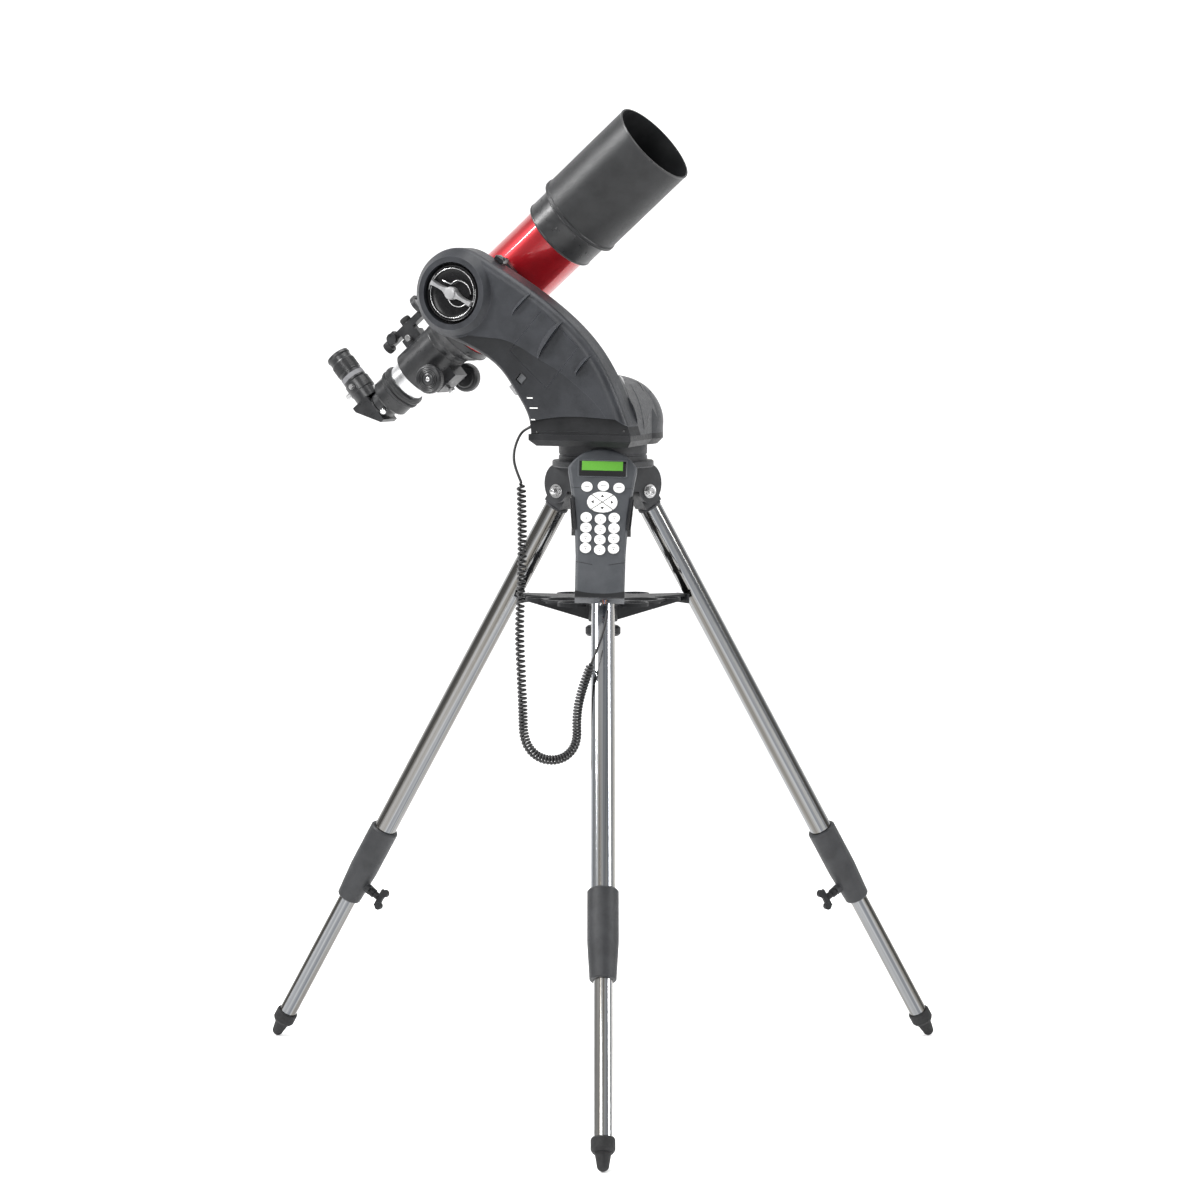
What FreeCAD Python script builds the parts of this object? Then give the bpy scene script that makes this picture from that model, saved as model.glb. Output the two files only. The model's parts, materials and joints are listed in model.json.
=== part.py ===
# Computerised single-arm alt-azimuth telescope on a steel tripod, millimetres, +Z up.
# The origin lies on the floor, under the middle of the box that the whole object fills.
import FreeCAD, Part
import math
import os

import Sketcher

V = FreeCAD.Vector
X_AXIS = V(1, 0, 0)
Y_AXIS = V(0, 1, 0)
Z_AXIS = V(0, 0, 1)

DOC = FreeCAD.newDocument("altaz_telescope")
SHEET = DOC.addObject("Spreadsheet::Sheet", "dims")

# Driving dimensions: alias, value in millimetres or degrees.
DRIVING = {
    # where the azimuth axis stands, and the pose that the object is stored in
    "axis_y": 137.53,
    "azimuth_deg": 26.5,
    "altitude_deg": 40.3,
    # tripod
    "leg_tilt_deg": 31.3,
    "leg_pivot_r": 61.0,
    "leg_pivot_z": 819.0,
    "leg_tube_r": 15.875,
    "leg_tube_wall": 1.2,
    "tube_top": 27.0,
    "lower_tube_r": 12.7,
    "sleeve_top": 581.0,
    "sleeve_step": 640.0,
    "sleeve_end": 704.0,
    "sleeve_r": 20.5,
    "sleeve_end_r": 17.6,
    "foot_tip_r": 8.0,
    "foot_cap_r": 15.75,
    "hub_r": 42.0,
    "flange_r": 70.0,
    "flange_z": 853.5,
    "base_z": 863.0,
    "base_r": 61.0,
    "ear_half_width": 18.9,
    "ear_half_height": 27.0,
    "ear_rise": 10.5,
    "ear_inner": 15.4,
    "ear_thick": 8.6,
    "bolt_r": 4.0,
    "running_gap": 0.06,
    # accessory tray
    "tray_z": 669.5,
    "tray_thick": 3.0,
    "tray_tip_r": 130.8,
    "wide_eyepiece_hole_r": 25.8,
    "eyepiece_hole_r": 16.2,
    "rod_r": 4.0,
    # azimuth head and arm, in the head's own frame
    "rim_z": 886.0,
    "rim_top_z": 902.0,
    "dome_r": 83.0,
    "dome_top_z": 981.0,
    "wall": 3.0,
    "arm_back": 93.0,
    "arm_split": 108.0,
    "arm_front": 132.0,
    "arm_edge_r": 11.0,
    "arm_head_r": 62.0,
    "pivot_a": -161.0,
    "pivot_z": 1092.0,
    "crease_step": 1.2,
    "switch_a": -59.0,
    "switch_z": 977.0,
    "door_side": 74.0,
    "door_thick": 2.4,
    # optical tube, along its own axis from the altitude axis
    "tube_r": 50.0,
    "tube_wall": 1.5,
    "tube_rear": -78.0,
    "tube_front": 128.0,
    "cell_r": 55.5,
    "cell_rear": 122.5,
    "cell_front": 172.0,
    "shade_r": 62.0,
    "shade_front": 314.0,
    "focuser_r": 35.5,
    "focuser_rear": -177.0,
    "drawtube_r": 28.5,
    "drawtube_rear": -197.0,
    "pinion_x": -140.0,
    "pinion_z": -38.0,
    "knob_r": 20.0,
    "barrel_r": 15.875,
    "diagonal_x": -258.0,
    # hand controller, down its own face
    "pad_tilt_deg": 24.0,
    "pad_roll_deg": 1.4,
    "pad_top_y": -92.0,
    "pad_top_z": 874.0,
    "pad_depth": 26.0,
    # cord
    "lead_r": 1.6,
    "coil_r": 6.7,
}


class Size:
    """A sheet value, or arithmetic on sheet values, with the expression that gives it."""

    def __init__(self, value, text):
        self.value = float(value)
        self.text = text

    def __add__(self, other):
        other = as_size(other)
        return Size(self.value + other.value, f"({self.text} + {other.text})")

    __radd__ = __add__

    def __sub__(self, other):
        other = as_size(other)
        return Size(self.value - other.value, f"({self.text} - {other.text})")

    def __rsub__(self, other):
        return as_size(other) - self

    def __mul__(self, other):
        other = as_size(other)
        return Size(self.value * other.value, f"({self.text} * {other.text})")

    __rmul__ = __mul__

    def __truediv__(self, other):
        other = as_size(other)
        return Size(self.value / other.value, f"({self.text} / {other.text})")

    def __neg__(self):
        return Size(-self.value, f"(0 - {self.text})")


def as_size(number):
    return number if isinstance(number, Size) else Size(number, f"({float(number)})")


class Sheet:
    """The driving dimensions as attributes, each bound to its own cell."""

    def __init__(self, dimensions):
        for row, (alias, value) in enumerate(dimensions.items(), start=1):
            SHEET.set(f"A{row}", alias)
            SHEET.set(f"B{row}", str(value))
            SHEET.setAlias(f"B{row}", alias)
            setattr(self, alias, Size(value, f"dims.{alias}"))


D = Sheet(DRIVING)
DOC.recompute()
NODES = {}


# ---------------------------------------------------------------- frames

def shift(x, y, z):
    return FreeCAD.Placement(V(x, y, z), FreeCAD.Rotation())


def turn(axis, degrees):
    return FreeCAD.Placement(V(0, 0, 0), FreeCAD.Rotation(axis, degrees))


TRIPOD = shift(0, D.axis_y.value, 0)
# Head frame: X along the arm's face, -Y out of the face, Z up, on the azimuth axis.
HEAD = TRIPOD * turn(Z_AXIS, -D.azimuth_deg.value)
# Tube frame: X along the tube to the sky, -Y towards the arm, from the altitude axis.
TUBE = HEAD * shift(D.pivot_a.value, 0, D.pivot_z.value) * turn(Y_AXIS, -D.altitude_deg.value)
# Controller frame: X to its right, Z up its length, -Y out of its keys, from its back's top.
PAD = (TRIPOD * shift(0, D.pad_top_y.value, D.pad_top_z.value)
       * turn(Y_AXIS, D.pad_roll_deg.value) * turn(X_AXIS, -D.pad_tilt_deg.value))
LEGS = {"front": -90.0, "left": 150.0, "right": 30.0}


def leg_frame(azimuth):
    """Z back up the leg from its foot, X outwards, from the leg's pivot bolt."""
    hub_side = TRIPOD * turn(Z_AXIS, azimuth)
    pivot = shift(D.leg_pivot_r.value, 0, D.leg_pivot_z.value)
    return hub_side * pivot * turn(Y_AXIS, -D.leg_tilt_deg.value)


# ---------------------------------------------------------------- building blocks

def bind(item, prop, size):
    """Set a property and tie it to the sheet when its size comes from there."""
    size = as_size(size)
    if prop.startswith("Placement"):
        corner = item.Placement.Base
        setattr(corner, prop[-1], size.value)
        item.Placement = FreeCAD.Placement(corner, item.Placement.Rotation)
    else:
        setattr(item, prop, size.value)
    if "dims." in size.text:
        item.setExpression(prop, size.text)


def put_at(item, at, axis=Z_AXIS):
    item.Placement = FreeCAD.Placement(V(0, 0, 0), FreeCAD.Rotation(Z_AXIS, axis))
    for letter, size in zip("xyz", at):
        bind(item, f"Placement.Base.{letter}", size)
    return item


def cylinder(radius, height, at=(0, 0, 0), axis=Z_AXIS):
    item = DOC.addObject("Part::Cylinder", "round")
    bind(item, "Radius", radius)
    bind(item, "Height", height)
    return put_at(item, at, axis)


def cone(radius_1, radius_2, height, at=(0, 0, 0), axis=Z_AXIS):
    item = DOC.addObject("Part::Cone", "taper")
    bind(item, "Radius1", radius_1)
    bind(item, "Radius2", radius_2)
    bind(item, "Height", height)
    return put_at(item, at, axis)


def ball(radius, at):
    item = DOC.addObject("Part::Sphere", "ball")
    bind(item, "Radius", radius)
    return put_at(item, at)


def box(lengths, low):
    item = DOC.addObject("Part::Box", "block")
    for prop, size in zip(("Length", "Width", "Height"), lengths):
        bind(item, prop, size)
    return put_at(item, low)


def hexagon(across_corners, height, at, axis):
    item = DOC.addObject("Part::Prism", "hexagon")
    item.Polygon = 6
    bind(item, "Circumradius", as_size(across_corners) / 2)
    bind(item, "Height", height)
    return put_at(item, at, axis)


def fuse(*items):
    if len(items) == 1:
        return items[0]
    item = DOC.addObject("Part::MultiFuse", "joined")
    item.Shapes = list(items)
    return item


def cut(base, *tools):
    item = DOC.addObject("Part::Cut", "trimmed")
    item.Base = base
    item.Tool = fuse(*tools)
    return item


def group(*items):
    item = DOC.addObject("Part::Compound", "set")
    item.Links = list(items)
    return item


def node(label, item, place):
    """Name a finished piece and put it where it belongs."""
    item.Label = label
    item.Placement = place * item.Placement
    NODES[label] = item
    return item


def origin_plane(body, role):
    return next(plane for plane in body.Origin.OriginFeatures if plane.Role == role)


def outline_sketch(body, role, points, start=0):
    """A closed outline of straight sides, each corner held by two dimensions."""
    sketch = body.newObject("Sketcher::SketchObject", "Outline")
    sketch.AttachmentSupport = [(origin_plane(body, role), "")]
    sketch.MapMode = "FlatFace"
    corners = [(as_size(a), as_size(b)) for a, b in points]
    count = len(corners)
    for i in range(count):
        (a, b), (c, e) = corners[i], corners[(i + 1) % count]
        sketch.addGeometry(Part.LineSegment(V(a.value, b.value, 0), V(c.value, e.value, 0)), False)
    for i in range(count):
        sketch.addConstraint(Sketcher.Constraint("Coincident", i, 2, (i + 1) % count, 1))
    for i, corner in enumerate(corners):
        for kind, size in zip(("DistanceX", "DistanceY"), corner):
            number = sketch.addConstraint(Sketcher.Constraint(kind, -1, 1, i, 1, size.value))
            if "dims." in size.text:
                sketch.setExpression(f"Constraints[{number}]", size.text)
    start = as_size(start)
    sketch.AttachmentOffset = shift(0, 0, start.value)
    if "dims." in start.text:
        sketch.setExpression("AttachmentOffset.Base.z", start.text)
    return sketch


def turned(points, about="Z"):
    """A round piece turned about Z, from (radius, z), or about X, from (x, radius)."""
    body = DOC.addObject("PartDesign::Body", "Turned")
    sketch = outline_sketch(body, "XZ_Plane", points)
    revolution = body.newObject("PartDesign::Revolution", "Revolution")
    revolution.Profile = sketch
    revolution.ReferenceAxis = (sketch, ["V_Axis" if about == "Z" else "H_Axis"])
    revolution.Angle = 360
    return body


def tube_x(points):
    return turned(points, "X")


def plate(points, start, thickness, role="XZ_Plane"):
    """A padded outline. On XZ_Plane it starts at -Y = start and grows towards -Y."""
    body = DOC.addObject("PartDesign::Body", "Plate")
    sketch = outline_sketch(body, role, points, start)
    pad = body.newObject("PartDesign::Pad", "Pad")
    pad.Profile = sketch
    bind(pad, "Length", thickness)
    return body


def free_shape(name, shape):
    item = DOC.addObject("Part::Feature", name)
    item.Shape = shape
    return item


def oval(half_x, half_z, start, end, x, z):
    """Oval plate from one depth to another, along -Y."""
    major, minor = V(half_x, 0, 0), V(0, half_z, 0)
    if half_z > half_x:
        major, minor = minor, major
    curve = Part.Ellipse(major, minor, V(0, 0, 0))
    face = Part.Face(Part.Wire([curve.toShape()]))
    block = face.extrude(V(0, 0, end - start))
    block.Placement = shift(x, -start, z) * turn(X_AXIS, 90)
    return block


# ---------------------------------------------------------------- tripod

def ear_plate(azimuth, side):
    """One oval cheek of a leg clevis, with its bolt hole."""
    low_y = D.ear_inner if side > 0 else -(D.ear_inner + D.ear_thick)
    low_z = D.leg_pivot_z
    inner, outer = D.ear_inner.value, D.ear_inner.value + D.ear_thick.value
    start, end = (-outer, -inner) if side > 0 else (inner, outer)
    oval_cheek = free_shape("cheek", oval(D.ear_half_width.value, D.ear_half_height.value, start, end,
                                          D.leg_pivot_r.value, low_z.value + D.ear_rise.value))
    web = box((D.leg_pivot_r - 30, D.ear_thick, D.flange_z - low_z + 2), (30, low_y, low_z))
    hole = cylinder(D.bolt_r, D.ear_thick + 2, (D.leg_pivot_r, low_y - 1, low_z), Y_AXIS)
    cheek = cut(fuse(oval_cheek, web), hole)
    cheek.Placement = turn(Z_AXIS, azimuth)
    return cheek


def tripod_hub():
    flange = turned([
        (0, D.flange_z), (D.flange_r - 1.5, D.flange_z), (D.flange_r, D.flange_z + 1.5),
        (D.flange_r, D.base_z - 1.5), (D.flange_r - 1.5, D.base_z), (0, D.base_z),
    ])
    core = turned([(0, 800), (D.hub_r - 3, 800), (D.hub_r, 803), (D.hub_r, D.flange_z + 1), (0, D.flange_z + 1)])
    cheeks = [ear_plate(azimuth, side) for azimuth in LEGS.values() for side in (-1, 1)]
    rod_hole = cylinder(D.rod_r, 30, (0, 0, 799))
    shaft_hole = cylinder(12, 60, (0, 0, 829))
    node("tripod_hub", cut(fuse(flange, core, *cheeks), rod_hole, shaft_hole), TRIPOD)


def leg_pivot_bolt(azimuth):
    """Hexagon-headed bolt through both cheeks, with its nut."""
    reach = D.ear_inner + D.ear_thick
    at = (D.leg_pivot_r, -reach, D.leg_pivot_z)
    shank = cylinder(D.bolt_r, reach * 2, at, Y_AXIS)
    head = hexagon(15.0, 5.5, (D.leg_pivot_r, -reach - 5.5, D.leg_pivot_z), Y_AXIS)
    nut = hexagon(15.0, 6.5, (D.leg_pivot_r, reach, D.leg_pivot_z), Y_AXIS)
    bolt = fuse(shank, head, nut)
    bolt.Placement = turn(Z_AXIS, azimuth)
    return bolt


def tripod_hardware():
    """The three leg bolts and the threaded rod that draws the tray up."""
    rod = cylinder(D.rod_r, 829.0 - 612.0, (0, 0, 612))
    node("tripod_hardware", group(rod, *[leg_pivot_bolt(azimuth) for azimuth in LEGS.values()]), TRIPOD)


def leg_top(name, place):
    """Moulded end of a leg: a tongue between the cheeks, a narrow lip, and a plug in the tube."""
    half = D.ear_inner - 0.4
    plug_r = D.leg_tube_r - D.leg_tube_wall - D.running_gap
    tongue = cylinder(14, half * 2, (0, -half, 0), Y_AXIS)
    neck = box((28, half * 2, 23), (-14, -half, -23))
    plug = turned([
        (0, -62), (plug_r, -62), (plug_r, -D.tube_top), (D.leg_tube_r + 0.9, -D.tube_top),
        (D.leg_tube_r + 0.9, -24.5), (14, -22), (0, -22),
    ])
    bore = cylinder(D.bolt_r + D.running_gap, half * 2 + 2, (0, -half - 1, 0), Y_AXIS)
    node(f"leg_top_{name}", cut(fuse(tongue, neck, plug), bore), place)


def upper_tube(name, place):
    inner = D.leg_tube_r - D.leg_tube_wall
    node(f"upper_tube_{name}", turned([
        (inner, -D.sleeve_step), (D.leg_tube_r, -D.sleeve_step), (D.leg_tube_r, -D.tube_top),
        (inner, -D.tube_top),
    ]), place)


def sleeve(name, place):
    """Extension sleeve: grips the upper tube and guides the lower one, with a boss for its screw."""
    slide_r = D.lower_tube_r + D.running_gap
    shell = turned([
        (D.leg_tube_r, -D.sleeve_step), (slide_r, -D.sleeve_step), (slide_r, -D.sleeve_end),
        (D.sleeve_end_r - 1, -D.sleeve_end), (D.sleeve_end_r, -D.sleeve_end + 1.5),
        (D.sleeve_r, -D.sleeve_step - 12), (D.sleeve_r, -D.sleeve_top - 2),
        (D.sleeve_r - 1.5, -D.sleeve_top), (D.leg_tube_r, -D.sleeve_top),
    ])
    boss = cut(cylinder(7, 12, (-26, 0, -674), X_AXIS), cylinder(slide_r, 40, (0, 0, -694)))
    screw_hole = cylinder(3.06, 20, (-30, 0, -674), X_AXIS)
    node(f"sleeve_{name}", cut(fuse(shell, boss), screw_hole), place)


def clamp_screw(name, place):
    """Wing screw that locks the lower tube: shank, collar and T-shaped wing."""
    shank = cylinder(3.0, 16, (-29, 0, -674), X_AXIS)
    collar = cylinder(6.5, 6, (-34, 0, -674), X_AXIS)
    hub = cylinder(5, 10, (-42, 0, -674), X_AXIS)
    wing = box((8, 5, 28), (-50, -2.5, -688))
    tips = [cylinder(5.5, 6, (-49, -3, -674 + end * 11), Y_AXIS) for end in (-1, 1)]
    node(f"clamp_screw_{name}", fuse(shank, collar, hub, wing, *tips), place)


def lower_tube(name, place):
    inner = D.lower_tube_r - 1.2
    node(f"lower_tube_{name}", turned([
        (inner, -930), (D.lower_tube_r, -930), (D.lower_tube_r, -380), (inner, -380),
    ]), place)


def foot(name, place):
    """Rubber cap with a round-ended finger that meets the floor."""
    tilt_cos = math.cos(math.radians(D.leg_tilt_deg.value))
    tip_z = (D.foot_tip_r - D.leg_pivot_z) / tilt_cos
    cap = turned([
        (D.lower_tube_r, -930), (D.lower_tube_r, -914), (D.foot_cap_r - 1, -914), (D.foot_cap_r, -916),
        (D.foot_cap_r, -929), (D.foot_cap_r - 2.5, -933), (0, -933), (0, -930),
    ])
    finger = cone(D.foot_tip_r, D.foot_tip_r + 3, -tip_z - 932, (0, 0, tip_z))
    node(f"foot_{name}", fuse(cap, finger, ball(D.foot_tip_r, (0, 0, tip_z))), place)


def leg(name, azimuth):
    place = leg_frame(azimuth)
    leg_top(name, place)
    upper_tube(name, place)
    sleeve(name, place)
    clamp_screw(name, place)
    lower_tube(name, place)
    foot(name, place)


def tray_arm(azimuth):
    """One arm of the tray: a tapering deck, a deep web under it and a leg pad at its tip."""
    deck = plate([(20, -34), (70, -26), (D.tray_tip_r, -11), (D.tray_tip_r, 11), (70, 26), (20, 34)],
                 0, D.tray_thick, "XY_Plane")
    web = plate([(18, 0.5), (D.tray_tip_r, 0.5), (D.tray_tip_r, -6), (18, -30)], -1.75, 3.5)
    pad = box((3, 30, 13), (D.tray_tip_r - 3, -15, -10))
    arm = fuse(deck, web, pad)
    arm.Placement = turn(Z_AXIS, azimuth)
    return arm


def tray_ring(radius, distance, azimuth):
    """Raised rim round an eyepiece hole."""
    ring = cylinder(radius + 3.2, D.tray_thick + 2.5, (distance, 0, -2.5))
    ring.Placement = turn(Z_AXIS, azimuth) * ring.Placement
    return ring


def tray_hole(radius, distance, azimuth):
    hole = cylinder(radius, D.tray_thick + 20, (distance, 0, -10))
    hole.Placement = turn(Z_AXIS, azimuth) * hole.Placement
    return hole


def accessory_tray():
    """Three-armed spreader with a 2 inch and two 1.25 inch holes between each pair of arms."""
    arms = [tray_arm(azimuth) for azimuth in LEGS.values()]
    hub = cylinder(20, 33, (0, 0, -30))
    deck = cylinder(88, D.tray_thick)
    rings, holes = [], []
    for azimuth in LEGS.values():
        middle = azimuth + 60
        for radius, distance, angle in ((D.wide_eyepiece_hole_r, 58, middle),
                                        (D.eyepiece_hole_r, 88, middle - 31),
                                        (D.eyepiece_hole_r, 88, middle + 31)):
            rings.append(tray_ring(radius, distance, angle))
            holes.append(tray_hole(radius, distance, angle))
    rod_hole = cylinder(D.rod_r + 0.3, 60, (0, 0, -40))
    node("accessory_tray", cut(fuse(hub, deck, *arms, *rings), *holes, rod_hole),
         TRIPOD * shift(0, 0, D.tray_z.value))


def tray_knob():
    """Fluted hand nut under the tray."""
    disc = turned([(D.rod_r + 0.3, 0), (22, 0), (24.5, 3), (24.5, 11), (21, 14), (9, 14), (9, 19.5),
                   (D.rod_r + 0.3, 19.5)])
    flutes = [cylinder(3.5, 20, (26.5 * math.cos(a), 26.5 * math.sin(a), -1))
              for a in [math.radians(60 * i) for i in range(6)]]
    node("tray_knob", cut(disc, *flutes), TRIPOD * shift(0, 0, D.tray_z.value - 50))


# ---------------------------------------------------------------- azimuth head

def azimuth_base():
    """Round base bolted to the hub, with a groove round it and the seat of the azimuth shaft."""
    node("azimuth_base", turned([
        (12, D.base_z), (D.base_r, D.base_z), (D.base_r, D.base_z + 6), (D.base_r - 1.2, D.base_z + 7),
        (D.base_r - 1.2, D.base_z + 8.5), (D.base_r, D.base_z + 9.5), (D.base_r, D.rim_z - 2),
        (D.base_r - 1.5, D.rim_z - 0.5), (12, D.rim_z - 0.5),
    ]), TRIPOD)


def azimuth_gear():
    """Fixed azimuth shaft with the worm wheel that the head drives itself round."""
    node("azimuth_gear", turned([
        (8, 835), (12, 835), (12, 906), (42, 906), (43, 908), (41.5, 911), (43, 914), (42, 916),
        (12, 916), (12, 926), (8, 926),
    ]), TRIPOD)


def arm_point(a, z):
    return V(a, -D.arm_back.value, z)


def moved_in(points, inset):
    """The same sweep of points, moved square to itself towards the middle of the arm."""
    sweep = Part.BSplineCurve()
    sweep.interpolate(points)
    middle = arm_point(-45, 1000)
    moved = []
    for point in points:
        along = sweep.tangent(sweep.parameter(point))[0]
        square = V(along.z, 0, -along.x)
        if square.dot(middle - point) < 0:
            square = -square
        moved.append(point + square * inset)
    return moved


def arm_outline(inset=0.0):
    """Side view of the arm: a round head, two long sweeping edges and a straight foot."""
    head_r = D.arm_head_r.value
    centre_a, centre_z = D.pivot_a.value, D.pivot_z.value

    def on_head(degrees, radius):
        angle = math.radians(degrees)
        return arm_point(centre_a + radius * math.cos(angle), centre_z + radius * math.sin(angle))

    foot_z = D.rim_top_z.value
    outer_points = moved_in([on_head(59, head_r), arm_point(-34, 1088), arm_point(47, 1016),
                             arm_point(84, 952), arm_point(103, foot_z)], inset)
    inner_points = moved_in([arm_point(-47, foot_z), arm_point(-53, 930), arm_point(-68, 955),
                             arm_point(-96, 991), arm_point(-132, 1014), on_head(246, head_r)], inset)
    outer_points[-1].z = inner_points[0].z = foot_z + inset
    outer = Part.BSplineCurve()
    outer.interpolate(outer_points)
    inner = Part.BSplineCurve()
    inner.interpolate(inner_points)
    foot = Part.LineSegment(outer.EndPoint, inner.StartPoint)
    head = Part.Arc(inner.EndPoint, on_head(152, head_r - inset), outer.StartPoint)
    return Part.Wire([outer.toShape(), foot.toShape(), inner.toShape(), head.toShape()])


def prism_from(wire, start, end):
    """Solid between two depths in front of the arm's back."""
    face = Part.Face(wire)
    face.translate(V(0, -(start - D.arm_back.value), 0))
    return face.extrude(V(0, -(end - start), 0))


def rod_shape(radius, start, end, a=0.0, z=0.0):
    """Round solid along -Y, around the altitude axis unless moved."""
    at = V(D.pivot_a.value + a, -start, D.pivot_z.value + z)
    return Part.makeCylinder(radius, end - start, at, V(0, -1, 0))


def fascia_region(start, end):
    """The dark foot panel's arched front view, as a solid between two depths."""
    low = D.rim_top_z.value - 1
    left, top, right = V(-60, -start, 916), V(30, -start, 927), V(84, -start, 924)
    edges = [
        Part.LineSegment(V(-60, -start, low), left).toShape(),
        Part.Arc(left, V(-12, -start, 925), top).toShape(),
        Part.LineSegment(top, right).toShape(),
        Part.LineSegment(right, V(112, -start, 906)).toShape(),
        Part.LineSegment(V(112, -start, 906), V(112, -start, low)).toShape(),
        Part.LineSegment(V(112, -start, low), V(-60, -start, low)).toShape(),
    ]
    return Part.Face(Part.Wire(edges)).extrude(V(0, -(end - start), 0))


def door_shape(side, start, end):
    """Square battery door, turned to lie along the arm."""
    square = Part.makeBox(side, end - start, side, V(-side / 2, -end, -side / 2))
    square.Placement = shift(-23.5, 0, 1017) * turn(Y_AXIS, 42)
    return square


GILLS = ((-57, 1077, 45, 22, 5.0), (-13, 1029, 53, 33, 10.0), (36, 995, 49, 19, 6.0))


def gill_prism(a, z, degrees, half_length, width, start, end):
    """Crescent outline on the arm's face as a solid between two depths."""
    ends = [V(-half_length, -start, 0), V(half_length, -start, 0)]
    edges = [
        Part.Arc(ends[0], V(0, -start, width), ends[1]).toShape(),
        Part.Arc(ends[1], V(0, -start, width * 0.15), ends[0]).toShape(),
    ]
    crescent = Part.Face(Part.Wire(edges)).extrude(V(0, -(end - start), 0))
    crescent.Placement = shift(a, 0, z) * turn(Y_AXIS, -degrees)
    return crescent


def gill(a, z, degrees, half_length, width):
    """Raised crescent: it slopes up from its curved side and fades out at both tips."""
    surface = D.arm_front.value
    low = surface - 2
    crest = surface + 3.4 + 0.4 * width
    side = half_length + 1
    slope = Part.Face(Part.makePolygon([
        V(-side, -low, -1), V(-side, -crest, -1), V(-side, -crest, 0), V(-side, -surface - 0.4, width + 0.5),
        V(-side, -low, width + 0.5), V(-side, -low, -1)])).extrude(V(2 * side, 0, 0))
    tips = [V(-half_length, -surface + 0.4, -2), V(half_length, -surface + 0.4, -2)]
    edges = [Part.Arc(tips[0], V(0, -crest - 0.5, -2), tips[1]).toShape(),
             Part.LineSegment(tips[1], tips[0]).toShape()]
    fade = Part.Face(Part.Wire(edges)).extrude(V(0, 0, width + 4))
    shape = slope.common(fade)
    shape.Placement = shift(a, 0, z) * turn(Y_AXIS, -degrees)
    return shape.common(gill_prism(a, z, degrees, half_length, width, low, crest + 1))


def crease_region(start, end):
    """The lower part of the arm's face, which lies a step back along a curved crease."""
    points = [V(-150, -start, 1036), V(-105.5, -start, 1032), V(-87, -start, 1030), V(-58.7, -start, 1019.3),
              V(-32.7, -start, 1004.7), V(-1.4, -start, 988.2), V(24.4, -start, 969.3),
              V(51.9, -start, 946.7), V(72, -start, 922)]
    crease = Part.BSplineCurve()
    crease.interpolate(points)
    corners = [points[-1], V(72, -start, 880), V(-210, -start, 880), V(-210, -start, 1036), points[0]]
    edges = [crease.toShape()]
    edges += [Part.LineSegment(a, b).toShape() for a, b in zip(corners, corners[1:])]
    region = Part.Face(Part.Wire(edges)).extrude(V(0, -(end - start), 0))
    return region.cut(rod_shape(60.5, start - 1, end + 1))


def switch_seat(y):
    """Frame of the power switch on the arm's face, at a depth."""
    return shift(D.switch_a.value, y, D.switch_z.value) * turn(Y_AXIS, 42)


def arm_solids():
    """Outer body of the arm and the hollow inside it."""
    wire = arm_outline()
    depth = D.arm_front.value
    body = prism_from(wire, D.arm_back.value, depth)
    front = [edge for edge in body.Edges
             if all(abs(vertex.Point.y + depth) < 1e-3 for vertex in edge.Vertexes)
             and edge.BoundBox.YLength < 1e-3 and edge.BoundBox.ZLength > 5]
    body = body.makeFillet(D.arm_edge_r.value, front)
    boss = Part.makeCone(60, 50, 12, V(D.pivot_a.value, -(depth - 3), D.pivot_z.value), V(0, -1, 0))
    body = body.fuse(boss).removeSplitter()
    hollow = prism_from(arm_outline(6.0), D.arm_back.value + D.wall.value, depth - 6)
    hollow = hollow.cut(rod_shape(45.5, 120, depth))
    return body, hollow


def arm_shells():
    """The arm's inner shell and front cover, split along a plane, each open to the other."""
    body, hollow = arm_solids()
    split = D.arm_split.value
    far = Part.makeBox(600, 200, 600, V(-400, -split - 200, 800))
    near = Part.makeBox(600, 200, 600, V(-400, -split, 800))
    shaft_hole = rod_shape(8.5 + D.running_gap.value, 80, 160)
    foot_panel = fascia_region(D.arm_back.value - 1, 200)

    inner = body.common(near).cut(hollow).cut(shaft_hole).cut(foot_panel)
    node("arm_inner_shell", free_shape("arm_inner_shell", inner), HEAD)

    door = door_shape(D.door_side.value + 0.8, D.arm_front.value - D.door_thick.value - 0.4, 160)
    battery_bay = door_shape(D.door_side.value - 8, 100, 140)
    dish = rod_shape(42.5, 124, 160)
    switch_bay = Part.makeBox(11, 30, 13, V(-5.5, -(D.arm_front.value + 10), -6.5))
    switch_bay.Placement = switch_seat(0)
    cover = body.common(far).cut(crease_region(D.arm_front.value - D.crease_step.value, 160))
    cover = cover.cut(hollow)
    for values in GILLS:
        cover = cover.fuse(gill(*values))
    for tool in (dish, shaft_hole, foot_panel, door, battery_bay, switch_bay):
        cover = cover.cut(tool)
    node("arm_front_cover", free_shape("arm_front_cover", cover.removeSplitter()), HEAD)


def battery_door():
    """Lift-off door over the battery bay, carrying its share of the middle crescent."""
    start = D.arm_front.value - D.door_thick.value
    panel = door_shape(D.door_side.value, start, D.arm_front.value)
    panel = panel.cut(crease_region(D.arm_front.value - D.crease_step.value, 160))
    crescent = gill(*GILLS[1]).common(door_shape(D.door_side.value, start, 160))
    node("battery_door", free_shape("battery_door", panel.fuse(crescent).removeSplitter()), HEAD)


def battery_pack():
    """Eight AA cells in two layers, in their carrier."""
    cells = [cylinder(7.1, 50, (-25, -8.9 - 14.4 * row, -22.5 + 15 * column), X_AXIS)
             for column in range(4) for row in range(2)]
    carrier = cut(box((56, 31.5, 61), (-28, -31.5, -30.5)), box((50.4, 40, 62), (-25.2, -41.5, -31)))
    pack = group(carrier, *cells)
    pack.Placement = shift(-23.5, -97.3, 1017) * turn(Y_AXIS, 42)
    node("battery_pack", pack, HEAD)


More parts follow.
